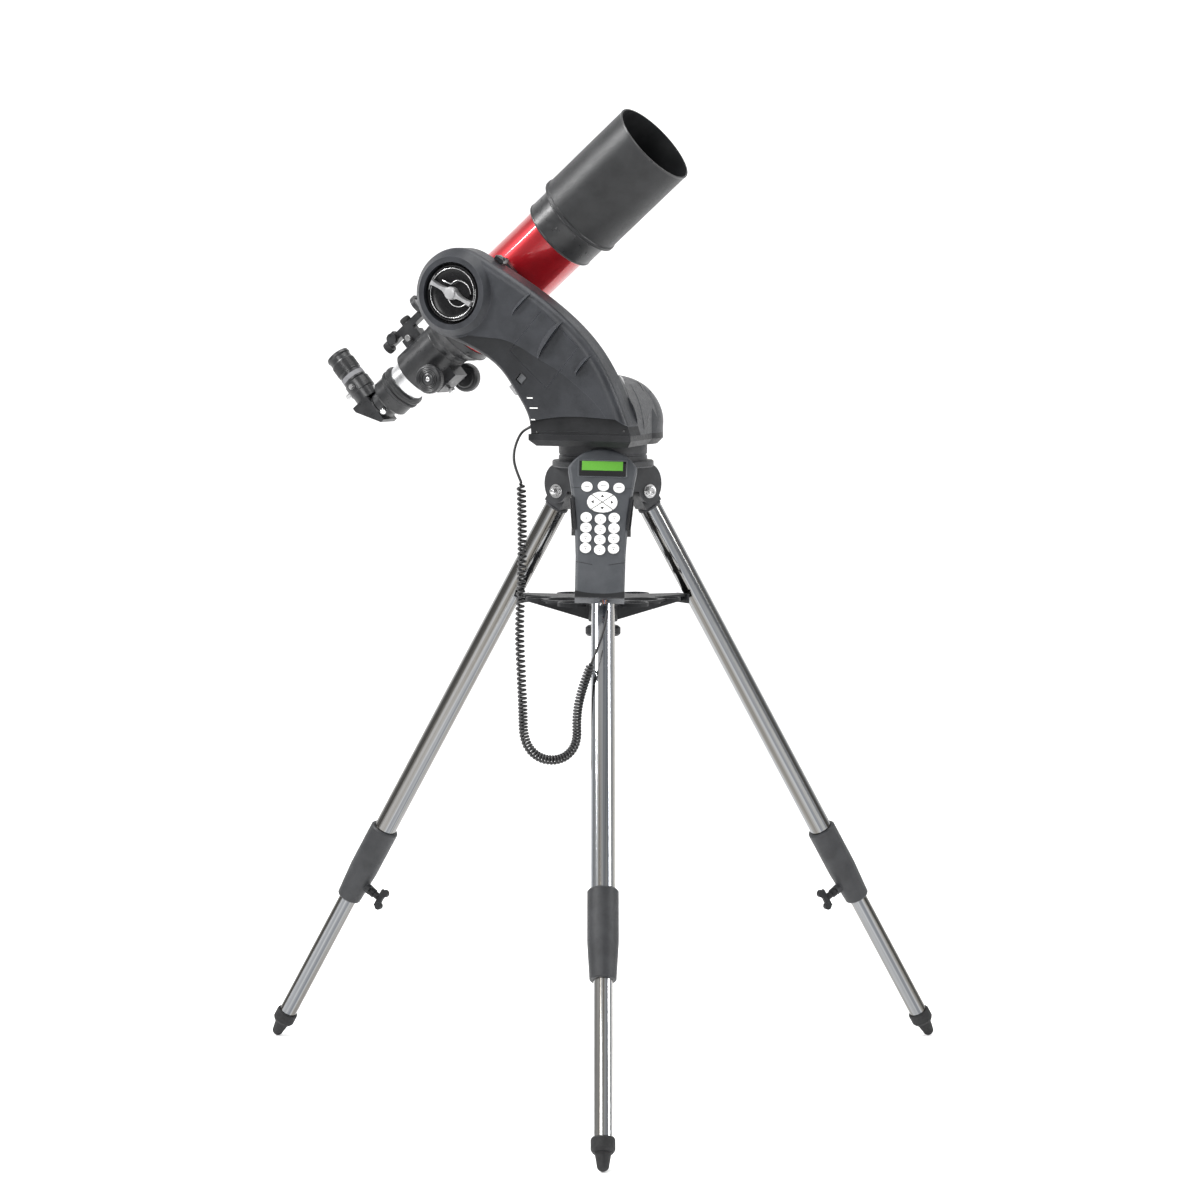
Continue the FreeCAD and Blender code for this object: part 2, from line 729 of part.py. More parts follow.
def power_switch():
    """Rocker in the arm's recess, with a round pivot across its back."""
    paddle = plate([(-4.6, -5.6), (4.6, -5.6), (4.6, 5.6), (-4.6, 5.6)], 0, 5)
    rocker = fuse(paddle, cylinder(1.5, 10.4, (-5.2, 0, 0), X_AXIS))
    rocker.Placement = switch_seat(-(D.arm_front.value - 8))
    node("power_switch", rocker, HEAD)


def base_fascia():
    """Dark arched panel across the arm's foot."""
    wire = arm_outline()
    block = prism_from(wire, D.arm_back.value, D.arm_front.value - 8)
    panel = block.common(fascia_region(D.arm_back.value - 1, 200))
    hollow = prism_from(arm_outline(4.0), D.arm_back.value + D.wall.value, D.arm_front.value - 11)
    keep = fascia_region(D.arm_back.value + D.wall.value, D.arm_front.value - 11)
    keep.translate(V(0, 0, -3))
    panel = panel.cut(hollow.common(keep))
    node("base_fascia", free_shape("base_fascia", panel), HEAD)


def head_plan_wire(inset, z, front_y):
    """Plan of the azimuth head: half round at the back, narrowing to the arm's foot."""
    radius = D.dome_r.value - inset
    right, left = V(radius * 0.985, -radius * 0.17, z), V(-radius * 0.985, -radius * 0.17, z)
    corners = [V(104 - inset, inset - front_y, z), V(-50 + inset, inset - front_y, z)]
    return Part.Wire([
        Part.Arc(right, V(0, radius, z), left).toShape(),
        Part.LineSegment(left, corners[1]).toShape(),
        Part.LineSegment(corners[1], corners[0]).toShape(),
        Part.LineSegment(corners[0], right).toShape(),
    ])


def head_plan(inset, z, height, front_y):
    return Part.Face(head_plan_wire(inset, z, front_y)).extrude(V(0, 0, height))


def base_rim():
    """Floor of the head: a thick plate, bevelled underneath, that turns on the azimuth shaft."""
    low, top, bevel = D.rim_z.value, D.rim_top_z.value, 8.0
    front_y = D.arm_front.value - 6
    under = Part.makeLoft([head_plan_wire(bevel, low, front_y), head_plan_wire(0, low + bevel, front_y)],
                          True, True)
    block = under.fuse(head_plan(0, low + bevel, top - low - bevel, front_y))
    recess = head_plan(bevel + 4, low + 5, top, front_y - 20)
    bore = Part.makeCylinder(12 + D.running_gap.value, 60, V(0, 0, low - 20))
    node("base_rim", free_shape("base_rim", block.cut(recess).cut(bore).removeSplitter()), HEAD)


def housing_section(inset, y, left, right, top):
    """Rounded cross-section of the head's cover at one depth, as a closed wire."""
    low = D.rim_top_z.value
    rise = top - inset - low
    middle, half = (right + left) / 2, (right - left) / 2 - inset
    outline = ((1, 8), (0.94, rise * 0.48), (0.69, rise * 0.81), (0, rise), (-0.69, rise * 0.81),
               (-0.94, rise * 0.48), (-1, 8))
    points = [V(middle + share * half, y, low + height) for share, height in outline]
    curve = Part.BSplineCurve()
    curve.interpolate(points)
    feet = [V(middle - half, y, low), V(middle + half, y, low)]
    return Part.Wire([curve.toShape(), Part.LineSegment(points[-1], feet[0]).toShape(),
                      Part.LineSegment(feet[0], feet[1]).toShape(),
                      Part.LineSegment(feet[1], points[0]).toShape()])


def dome(inset):
    """Rounded back of the head, with the same section as the cover in front of it."""
    radius = D.dome_r.value - inset
    low = D.rim_top_z.value
    rise = D.dome_top_z.value - inset - low
    outline = ((radius, low + 8), (radius * 0.94, low + rise * 0.48), (radius * 0.69, low + rise * 0.81),
               (0, low + rise), (-radius * 0.69, low + rise * 0.81), (-radius * 0.94, low + rise * 0.48),
               (-radius, low + 8))
    curve = Part.BSplineCurve()
    curve.interpolate([V(x, 0, z) for x, z in outline])
    middle = curve.parameter(V(0, 0, low + rise))
    half_curve = curve.toShape(curve.FirstParameter, middle)
    edges = [half_curve, Part.LineSegment(V(0, 0, low + rise), V(0, 0, low)).toShape(),
             Part.LineSegment(V(0, 0, low), V(radius, 0, low)).toShape(),
             Part.LineSegment(V(radius, 0, low), V(radius, 0, low + 8)).toShape()]
    return Part.Face(Part.Wire(Part.__sortEdges__(edges))).revolve(V(0, 0, 0), Z_AXIS, 360)


def base_housing():
    """Hollow cover over the azimuth drive, from the dome to the back of the arm."""
    def cover(inset):
        plan = head_plan(inset, D.rim_top_z.value, 200, D.arm_back.value)
        radius, top = D.dome_r.value, D.dome_top_z.value
        bridge = Part.makeLoft([housing_section(inset, 0, -radius, radius, top),
                                housing_section(inset, -D.arm_back.value, -58, 98, top - 4)], True, True)
        return dome(inset).fuse(bridge.common(plan))
    floor = Part.makeBox(400, 400, 60, V(-200, -200, D.rim_top_z.value - 60))
    shell = cover(0).cut(cover(D.wall.value)).cut(floor)
    node("base_housing", free_shape("base_housing", shell.removeSplitter()), HEAD)


def azimuth_motor():
    """Gearmotor on the head's floor with the worm that meets the azimuth wheel."""
    floor = D.rim_z.value + 5
    can = cylinder(12, 28, (-50, -49.5, 911), X_AXIS)
    worm = cylinder(6, 48, (-23, -49.5, 911), X_AXIS)
    foot = box((18, 18, 911 - floor - 8), (-46, -58.5, floor))
    node("azimuth_motor", fuse(can, worm, foot), HEAD)


def altitude_motor():
    """Gearmotor in the arm with the worm that meets the altitude wheel."""
    can = cylinder(11, 42, (26, 0, 43.5), X_AXIS)
    worm = cylinder(5, 50, (-22, 0, 43.5), X_AXIS)
    foot = box((16, 15, 12), (40, 0, 37.5))
    motor = fuse(can, worm, foot)
    motor.Placement = shift(D.pivot_a.value, -111.5, D.pivot_z.value) * turn(Y_AXIS, 35)
    node("altitude_motor", motor, HEAD)


# ---------------------------------------------------------------- optical tube

def altitude_gear():
    """Altitude shaft with its worm wheel inside the arm's head."""
    shaft = cylinder(8.5, 52, (0, -76, 0), V(0, -1, 0))
    wheel = cylinder(38, 9, (0, -107, 0), V(0, -1, 0))
    node("altitude_gear", fuse(shaft, wheel), TUBE)


def clutch_knob():
    """Altitude clutch: a dished knob with a bar grip across it."""
    dish = turned([
        (0, 128.5), (36, 128.5), (39.5, 131), (39.5, 141), (38.4, 143.5), (36.4, 144.5), (34.6, 143),
        (34.6, 133), (0, 133),
    ])
    dish.Placement = turn(X_AXIS, 90)
    grip = cylinder(10, 14.5, (0, -132.5, 0), V(0, -1, 0))
    bar = box((70, 10, 9), (-35, -143, -4.5))
    knob = fuse(dish, grip, bar)
    knob.Placement = turn(Y_AXIS, D.altitude_deg.value + 28)
    node("clutch_knob", knob, TUBE)


def saddle():
    """Clamp block on the altitude shaft, with jaws that grip the dovetail bar."""
    block = turned([(0, 66.5), (34, 66.5), (34, 76), (26, 84), (26, 91.5), (8.5, 91.5), (8.5, 76), (0, 76)])
    block.Placement = turn(X_AXIS, 90)
    base = plate([(-36, -33), (36, -33), (36, 33), (-36, 33)], 66.5, 9.5)
    lower_jaw = plate([(-33, 57.0), (-22.2, 57.0), (-19.2, 66.6), (-33, 66.6)], -30, 60, "YZ_Plane")
    lower_jaw.Placement = turn(X_AXIS, 90)
    upper_jaw = plate([(33, 57.0), (22.2, 57.0), (19.2, 66.6), (33, 66.6)], -30, 60, "YZ_Plane")
    upper_jaw.Placement = turn(X_AXIS, 90)
    screw_hole = cylinder(3.06, 30, (0, -62, -50))
    node("saddle", cut(fuse(block, base, lower_jaw, upper_jaw), screw_hole), TUBE)


def saddle_screw():
    """Knob that tightens the lower jaw."""
    screw = turned([(0, -57), (8, -57), (10, -55), (10, -44), (8, -42), (3, -42), (3, -22.8), (0, -22.8)])
    screw.Placement = shift(0, -62, 0)
    node("saddle_screw", screw, TUBE)


def dovetail_bar():
    """Dovetail bar under a curved shoe that is screwed to the tube."""
    bar = plate([(-22, 57.2), (22, 57.2), (19, 66.5), (-19, 66.5)], -70, 122, "YZ_Plane")
    bar.Placement = turn(X_AXIS, 90)
    shoe = box((90, 26, 26), (-30, -57.4, -13))
    around = cylinder(D.tube_r, 100, (-35, 0, 0), X_AXIS)
    node("dovetail_bar", fuse(bar, cut(shoe, around)), TUBE)


def main_tube():
    inner = D.tube_r - D.tube_wall
    node("main_tube", tube_x([
        (D.tube_rear, inner), (D.tube_front, inner), (D.tube_front, D.tube_r), (D.tube_rear, D.tube_r),
    ]), TUBE)


def lens_cell():
    """Collar that closes the tube's front and holds the objective."""
    node("lens_cell", tube_x([
        (D.cell_rear, D.tube_r), (D.cell_rear, D.cell_r - 2), (D.cell_rear + 2, D.cell_r),
        (D.cell_front, D.cell_r), (D.cell_front, 51.2), (138, 51.2), (138, 48.5), (D.tube_front, 48.5),
        (D.tube_front, D.tube_r),
    ]), TUBE)


def objective_lens():
    """Cemented doublet, thicker in the middle."""
    lens = Part.makeCylinder(51.1, 13, V(138.1, 0, 0), X_AXIS)
    front = Part.makeSphere(330, V(151.0 - 330, 0, 0)).common(lens)
    node("objective_lens", free_shape("objective_lens", front), TUBE)


def dew_shield():
    """Long shade ahead of the objective, with a lip where it meets the cell."""
    inner = D.shade_r - 2
    node("dew_shield", tube_x([
        (162, D.cell_r), (162, D.shade_r - 1), (163.5, D.shade_r + 1.5), (167.5, D.shade_r + 1.5),
        (169, D.shade_r), (D.shade_front - 1, D.shade_r), (D.shade_front, D.shade_r - 1),
        (D.shade_front, inner), (176, inner), (172.2, D.cell_r),
    ]), TUBE)


def focuser_body():
    """Rear cell and focuser housing, bored for the drawtube and slotted for its rack."""
    bore = D.drawtube_r + D.running_gap
    shell = tube_x([
        (-73, D.tube_r), (-73, 51.5), (-84, 51.5), (-93, 45), (-101, 38.5), (-106, D.focuser_r + 1),
        (-112, D.focuser_r), (D.focuser_rear + 1, D.focuser_r), (D.focuser_rear, D.focuser_r - 1),
        (D.focuser_rear, bore), (-112, bore), (-104, 33), (-90, 42), (D.tube_rear, 48.5),
        (D.tube_rear, D.tube_r),
    ])
    housing = box((38, 34, 26), (D.pinion_x - 19, -17, D.pinion_z - 10))
    hollow = cylinder(bore, 80, (D.focuser_rear - 2, 0, 0), X_AXIS)
    rack_slot = box((90, 11.4, 8), (D.focuser_rear - 1, -5.7, -31.8))
    pinion_room = cylinder(7.8, 14, (D.pinion_x, -7, D.pinion_z), Y_AXIS)
    shaft_bore = cylinder(2.5 + D.running_gap, 40, (D.pinion_x, -20, D.pinion_z), Y_AXIS)
    node("focuser_body", cut(fuse(shell, housing), hollow, rack_slot, pinion_room, shaft_bore), TUBE)


def drawtube():
    """Sliding focus tube with its rack underneath."""
    tube = tube_x([
        (D.drawtube_rear, 26.6), (-86, 26.6), (-86, D.drawtube_r), (D.drawtube_rear, D.drawtube_r),
    ])
    rack = box((82, 10, 3.0), (-168, -5, -30.8))
    inside = cylinder(26.6, 140, (-220, 0, 0), X_AXIS)
    node("drawtube", fuse(tube, cut(rack, inside)), TUBE)


def focus_knobs():
    """Pinion shaft with its pinion and a knob on each end."""
    shaft = cylinder(2.5, 116, (D.pinion_x, -58, D.pinion_z), Y_AXIS)
    pinion = cylinder(6.9, 12, (D.pinion_x, -6, D.pinion_z), Y_AXIS)
    knobs = []
    for side in (-1, 1):
        knob = turned([(0, 45.5), (13, 45.5), (15, 47), (17, 47), (D.knob_r - 1, 47.5), (D.knob_r, 49),
                       (D.knob_r, 57.5), (D.knob_r - 1.5, 59), (15, 59), (14, 57.8), (0, 57.8)])
        knob.Placement = shift(D.pinion_x.value, 0, D.pinion_z.value) * turn(X_AXIS, -90 * side)
        knobs.append(knob)
    node("focus_knobs", fuse(shaft, pinion, *knobs), TUBE)


def eyepiece_holder():
    """Stepped 1.25 inch holder on the drawtube's end."""
    node("eyepiece_holder", tube_x([
        (-197, 26.6), (-197, 30.5), (-199, 32), (-205, 32), (-206, 30.5), (-208, 30.5), (-209, 32),
        (-213, 32), (-215, 29.5), (-231, 29.5), (-233, 28), (-234, 20.5), (-246.5, 20.5), (-248, 19),
        (-248, D.barrel_r + D.running_gap), (-222, D.barrel_r + D.running_gap), (-220, 26.6),
    ]), TUBE)


def diagonal():
    """Right-angle mirror box with a nose in the holder and a socket for the eyepiece."""
    corner = D.diagonal_x
    nose = tube_x([(corner + 6, 14.4), (-226, 14.4), (-226, D.barrel_r), (corner + 6, D.barrel_r)])
    flange = tube_x([(corner + 9.7, 14.4), (corner + 9.7, 20), (corner + 7, 20), (corner + 7, 14.4)])
    shell = plate([(corner + 8, -22), (corner + 8, 22), (corner - 21, 22), (corner - 21, 15),
                   (corner + 2, -22)], -19, 38)
    light_in = cylinder(14.4, 30, (corner, 0, 0), X_AXIS)
    light_up = cylinder(14.4, 30, (corner, 0, -5))
    socket = turned([(14.4, 21.2), (18, 21.2), (18, 36), (19, 37), (19, 53), (18, 54), (D.barrel_r + 0.06, 54),
                     (D.barrel_r + 0.06, 27), (14.4, 26)])
    socket.Placement = shift(corner.value, 0, 0)
    node("diagonal", cut(fuse(nose, flange, shell, socket), light_in, light_up), TUBE)


def eyepiece():
    """Barrel, ribbed body, eye lens seat and rolled eyecup."""
    piece = turned([
        (13.5, 28), (D.barrel_r, 28), (D.barrel_r, 54.3), (16.5, 54.3), (17.5, 56), (17.5, 66), (16.6, 67),
        (16.6, 69), (17.5, 70), (17.5, 88), (16.5, 90), (16.5, 96), (17.8, 98), (17.0, 102), (12, 100),
        (10, 96), (10, 60), (13.5, 54),
    ])
    piece.Placement = shift(D.diagonal_x.value, 0, 0)
    node("eyepiece", piece, TUBE)


def finder():
    """Red-dot finder: shoe, foot, sight bar, lens hoop and its two adjusting knobs."""
    shoe = box((30, 18, 12), (-160, -9, 34))
    saddle_cut = cylinder(D.focuser_r, 60, (-180, 0, 0), X_AXIS)
    foot_block = box((24, 14, 10), (-157, -7, 45))
    bar = box((74, 14, 10), (-180, -7, 53))
    hoop = cut(cylinder(15, 6, (-112, 0, 70), X_AXIS), cylinder(11.5, 10, (-114, 0, 70), X_AXIS))
    post = cut(box((6, 20, 14), (-112, -10, 54)), cylinder(14.5, 10, (-114, 0, 70), X_AXIS))
    side_knob = cylinder(7.5, 9, (-168, -16, 58), Y_AXIS)
    top_knob = cylinder(7.5, 9, (-140, 0, 62.5))
    end_knob = cylinder(8.5, 9, (-189, 0, 56), X_AXIS)
    emitter = box((12, 10, 6), (-176, -5, 62.5))
    node("finder", fuse(cut(shoe, saddle_cut), foot_block, bar, hoop, post, side_knob, top_knob, end_knob,
                        emitter), TUBE)


# ---------------------------------------------------------------- hand controller

PAD_SIDES = ((46.5, -28), (40.5, -64), (36, -100), (33.5, -150), (33, -214))


def pad_outline(inset):
    """Front view of the controller: a round top and sides that narrow to the foot."""
    right = [V(x - inset, 0, z) for x, z in PAD_SIDES]
    left = [V(-point.x, 0, point.z) for point in right]
    lift = V(0, 0, inset)
    right[-1] = right[-1] + lift
    left[-1] = left[-1] + lift
    edges = [Part.Arc(left[0], V(0, 0, -inset), right[0]).toShape()]
    for side in (right, left):
        for start, end in zip(side, side[1:]):
            edges.append(Part.LineSegment(start, end).toShape())
    edges.append(Part.LineSegment(right[-1], left[-1]).toShape())
    return Part.Face(Part.Wire(Part.__sortEdges__(edges)))


def pad_block(inset, start, end):
    face = pad_outline(inset)
    face.translate(V(0, -start, 0))
    return face.extrude(V(0, -(end - start), 0))


def rounded(block, depth, radius):
    """Round the long edges that lie in one depth plane."""
    edges = [edge for edge in block.Edges
             if edge.BoundBox.YLength < 1e-3 and abs(edge.BoundBox.YMin + depth) < 1e-3]
    return block.makeFillet(radius, edges)


KEY_COLUMNS = (-20.5, -1.5, 17.0)
KEY_ROWS = (-100.7, -115.4, -130.0, -144.5)
FUNCTION_KEYS = ((-20.5, -57.0), (1.5, -55.5), (22.5, -57.6))
ARROW_CENTRE = (0.5, -78.6)


def key_places():
    places = list(FUNCTION_KEYS)
    for z in KEY_ROWS:
        for column, x in enumerate(KEY_COLUMNS):
            places.append((x, z - (2.2 if column == 1 else 0)))
    return places


def controller_shells():
    """Back and front halves of the hand controller, meeting half way through its depth."""
    middle, depth = 12.0, D.pad_depth.value
    back = rounded(pad_block(0, 0, middle), 0, 3.0).cut(pad_block(2.2, 2.2, middle + 1))
    socket = Part.makeBox(12.4, 10.4, 14, V(0.4, -18.2, -216))
    node("controller_back", free_shape("controller_back", back.cut(socket)), PAD)
    front = rounded(pad_block(0, middle, depth), depth, 4.0).cut(pad_block(2.2, middle - 1, depth - 2.4))
    window = Part.makeBox(64.6, 6, 23.6, V(-32.3, -depth - 1, -42))
    front = front.cut(window).cut(socket)
    for x, z in key_places():
        front = front.cut(oval(7.9, 7.4, depth - 6, depth + 3, x, z))
    front = front.cut(oval(20.8, 15.2, depth - 6, depth + 3, *ARROW_CENTRE))
    node("controller_front", free_shape("controller_front", front), PAD)


def display_window():
    """Clear window with the display behind it."""
    window = plate([(-32, -41.7), (32, -41.7), (32, -18.7), (-32, -18.7)], D.pad_depth - 4.6, 4.4)
    node("display_window", window, PAD)


def keypads():
    """Fifteen oval keys, and four arrow keys that share one oval."""
    depth = D.pad_depth.value
    keys = [oval(7.5, 7.0, depth - 5, depth + 1.4, x, z) for x, z in key_places()]
    node("keypad_keys", free_shape("keypad_keys", Part.makeCompound(keys)), PAD)
    pad = oval(20.3, 14.7, depth - 5, depth + 1.4, *ARROW_CENTRE)
    for degrees in (36, -36):
        gap = Part.makeBox(60, 12, 1.4, V(-30, -depth - 3, -0.7))
        gap.Placement = shift(ARROW_CENTRE[0], 0, ARROW_CENTRE[1]) * turn(Y_AXIS, degrees)
        pad = pad.cut(gap)
    node("arrow_keys", free_shape("arrow_keys", pad), PAD)


def controller_holder():
    """Bracket from the hub's flange with a back plate and two side clips for the controller."""
    bracket = box((26, 36.5, 6.3), (-13, -100.5, 847.2))
    bracket.Placement = TRIPOD * bracket.Placement
    plate_back = plate([(-30, -118), (30, -118), (30, -24), (-30, -24)], -4.3, 4)
    clips = []
    for side in (-1, 1):
        wall = plate([(side * 43.0, -72), (side * 39.6, -72), (side * 35.6, -116), (side * 39, -116)],
                     -4.3, 26)
        bridge = box((16, 4, 44), (-40 if side < 0 else 24, 0.3, -116))
        clips += [wall, bridge]
    cradle = fuse(plate_back, *clips)
    cradle.Placement = PAD
    node("controller_holder", fuse(bracket, cradle), FreeCAD.Placement())


# ---------------------------------------------------------------- cord

UPPER_LEAD = ((-92.6, -74.6, 912.9), (-107.5, -68, 908.5), (-117.4, -80, 892.2), (-121.9, -92, 872),
              (-118.0, -100, 853.8), (-110.8, -104, 837.8))
COIL = ((-110.8, -104, 837.8), (-109.3, -111, 790), (-108.8, -122, 738), (-111.2, -134, 684),
        (-112.6, -144, 634), (-110, -156, 585), (-107.5, -168, 540), (-106.5, -179, 493),
        (-85.3, -190, 471), (-54.7, -201, 471), (-34, -208, 493), (-35.5, -214, 531),
        (-29, -218, 567), (-14.5, -218, 604.9))
LOWER_LEAD = ((-14.5, -218, 604.9), (-5.3, -214, 627.2), (2.6, -207.5, 650), (6.2, -200.5, 672.0))


def cord_tube(label, points, radius):
    """Straight runs joined by tangent arcs, swept as one tube."""
    points = [V(*point) for point in points]
    edges, cursor, radii = [], points[0], []
    for before, corner, after in zip(points, points[1:], points[2:]):
        arrive, leave = corner - before, after - corner
        half_turn = arrive.getAngle(leave) / 2
        reach = 0.45 * min(arrive.Length, leave.Length)
        radii.append(reach / math.tan(half_turn))
        start = corner - arrive.normalize() * reach
        end = corner + leave.normalize() * reach
        to_middle = (leave - arrive).normalize()
        sag = radii[-1] * (1 / math.cos(half_turn) - 1)
        edges.append(Part.LineSegment(cursor, start).toShape())
        edges.append(Part.Arc(start, corner + to_middle * sag, end).toShape())
        cursor = end
    edges.append(Part.LineSegment(cursor, points[-1]).toShape())
    spine = Part.Wire(edges)
    ring = Part.makeCircle(radius, points[0], points[1] - points[0])
    tube = spine.makePipeShell([Part.Wire([ring])], True, True)
    expected = math.pi * radius ** 2 * spine.Length
    print(f"{label}: length {spine.Length:.1f}, smallest radius {min(radii):.1f}, "
          f"volume {tube.Volume:.0f} of {expected:.0f}")
    node(label, free_shape(label, tube), TRIPOD)


def cord_plug():
    """Clear modular plug in the controller's foot."""
    body = plate([(1.0, -218.5), (12.2, -218.5), (12.2, -204), (1.0, -204)], 8.4, 9.2)
    node("cord_plug", body, PAD)


# ---------------------------------------------------------------- the whole object

tripod_hub()
tripod_hardware()
controller_holder()
for leg_name, leg_azimuth in LEGS.items():
    leg(leg_name, leg_azimuth)
accessory_tray()
tray_knob()
azimuth_base()
azimuth_gear()
base_rim()
base_housing()
base_fascia()
arm_shells()
battery_door()
battery_pack()
power_switch()
azimuth_motor()
altitude_motor()
altitude_gear()
clutch_knob()
saddle()
saddle_screw()
dovetail_bar()
main_tube()
lens_cell()
objective_lens()
dew_shield()
focuser_body()
drawtube()
focus_knobs()
eyepiece_holder()
diagonal()
eyepiece()
finder()
controller_shells()
display_window()
keypads()
cord_tube("cord_lead_upper", UPPER_LEAD, D.lead_r.value)
cord_tube("cord_coil", COIL, D.coil_r.value)
cord_tube("cord_lead_lower", LOWER_LEAD, D.lead_r.value)
cord_plug()
DOC.recompute()

failed = [item.Label for item in DOC.Objects if {"Invalid", "Error"} & set(item.State)]
for label, item in NODES.items():
    if item.Shape.isNull() or not item.Shape.isValid() or item.Shape.Volume <= 0:
        failed.append(label)
if failed:
    raise RuntimeError(f"not built: {sorted(set(failed))}")
os.makedirs("parts", exist_ok=True)
for label, item in NODES.items():
    item.Shape.exportStep(f"parts/{label}.step")
print(f"{len(NODES)} nodes")
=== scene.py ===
"""Looks of a motorised telescope mount with its red refractor, tripod and hand controller."""

import json
import math

import bmesh
import bpy
from mathutils import Matrix, Vector
from mathutils.bvhtree import BVHTree

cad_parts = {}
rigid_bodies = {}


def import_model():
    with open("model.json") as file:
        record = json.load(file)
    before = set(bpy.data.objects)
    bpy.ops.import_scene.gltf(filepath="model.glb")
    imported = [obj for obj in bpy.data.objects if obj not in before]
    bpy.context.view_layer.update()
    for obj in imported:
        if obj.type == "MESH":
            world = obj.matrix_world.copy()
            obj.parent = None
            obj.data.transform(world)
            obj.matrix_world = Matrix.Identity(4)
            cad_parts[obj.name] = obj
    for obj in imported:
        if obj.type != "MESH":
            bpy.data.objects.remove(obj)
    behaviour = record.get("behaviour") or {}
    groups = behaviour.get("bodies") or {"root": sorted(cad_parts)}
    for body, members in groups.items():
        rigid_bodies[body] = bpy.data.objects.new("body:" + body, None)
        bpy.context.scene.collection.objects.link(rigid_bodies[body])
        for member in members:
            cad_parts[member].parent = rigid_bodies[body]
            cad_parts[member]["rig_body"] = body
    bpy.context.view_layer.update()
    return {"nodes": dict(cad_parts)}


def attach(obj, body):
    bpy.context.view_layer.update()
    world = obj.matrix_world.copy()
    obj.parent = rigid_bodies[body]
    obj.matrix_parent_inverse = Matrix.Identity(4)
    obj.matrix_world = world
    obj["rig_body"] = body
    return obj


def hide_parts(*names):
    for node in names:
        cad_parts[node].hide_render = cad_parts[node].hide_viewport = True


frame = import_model()
NODES = frame["nodes"]

# ---------------------------------------------------------------- frames, in millimetres


def move(x, y, z):
    return Matrix.Translation((x, y, z))


def turn(axis, degrees):
    return Matrix.Rotation(math.radians(degrees), 4, axis)


AXIS_Y = 137.53
PIVOT_X, PIVOT_Z = -161, 1092
LEG_LEAN = 31.3
TRIPOD = move(0, AXIS_Y, 0)
HEAD = TRIPOD @ turn("Z", -26.5)
PIVOT = HEAD @ move(PIVOT_X, 0, PIVOT_Z)
TUBE = PIVOT @ turn("Y", -40.3)
PAD = TRIPOD @ move(0, -92, 874) @ turn("Y", 1.4) @ turn("X", -24)
# On these three the local Z axis comes out of the arm's face, the clutch knob and the keys.
FACE = HEAD @ turn("X", 90)
KNOB = PIVOT @ turn("X", 90)
KEYS = PAD @ turn("X", 90)
# On these two the local Z axis runs along the optical tube and along the finder.
ALONG_TUBE = TUBE @ turn("Y", 90)
FINDER = TUBE @ move(0, 0, 70) @ turn("Y", 90)
EYEPIECE = TUBE @ move(-258, 0, 0)
LEGS = {"front": -90, "left": 150, "right": 30}


# ---------------------------------------------------------------- materials

# The painted shade under the arm's crease, in metres: its soft edge, where along the arm it ends, and what
# is left far below it.
SHADE_EDGE = (-0.0004, 0.0008)
SHADE_ENDS = (-0.07, 0.05)
SHADE_LEFT = 0.35


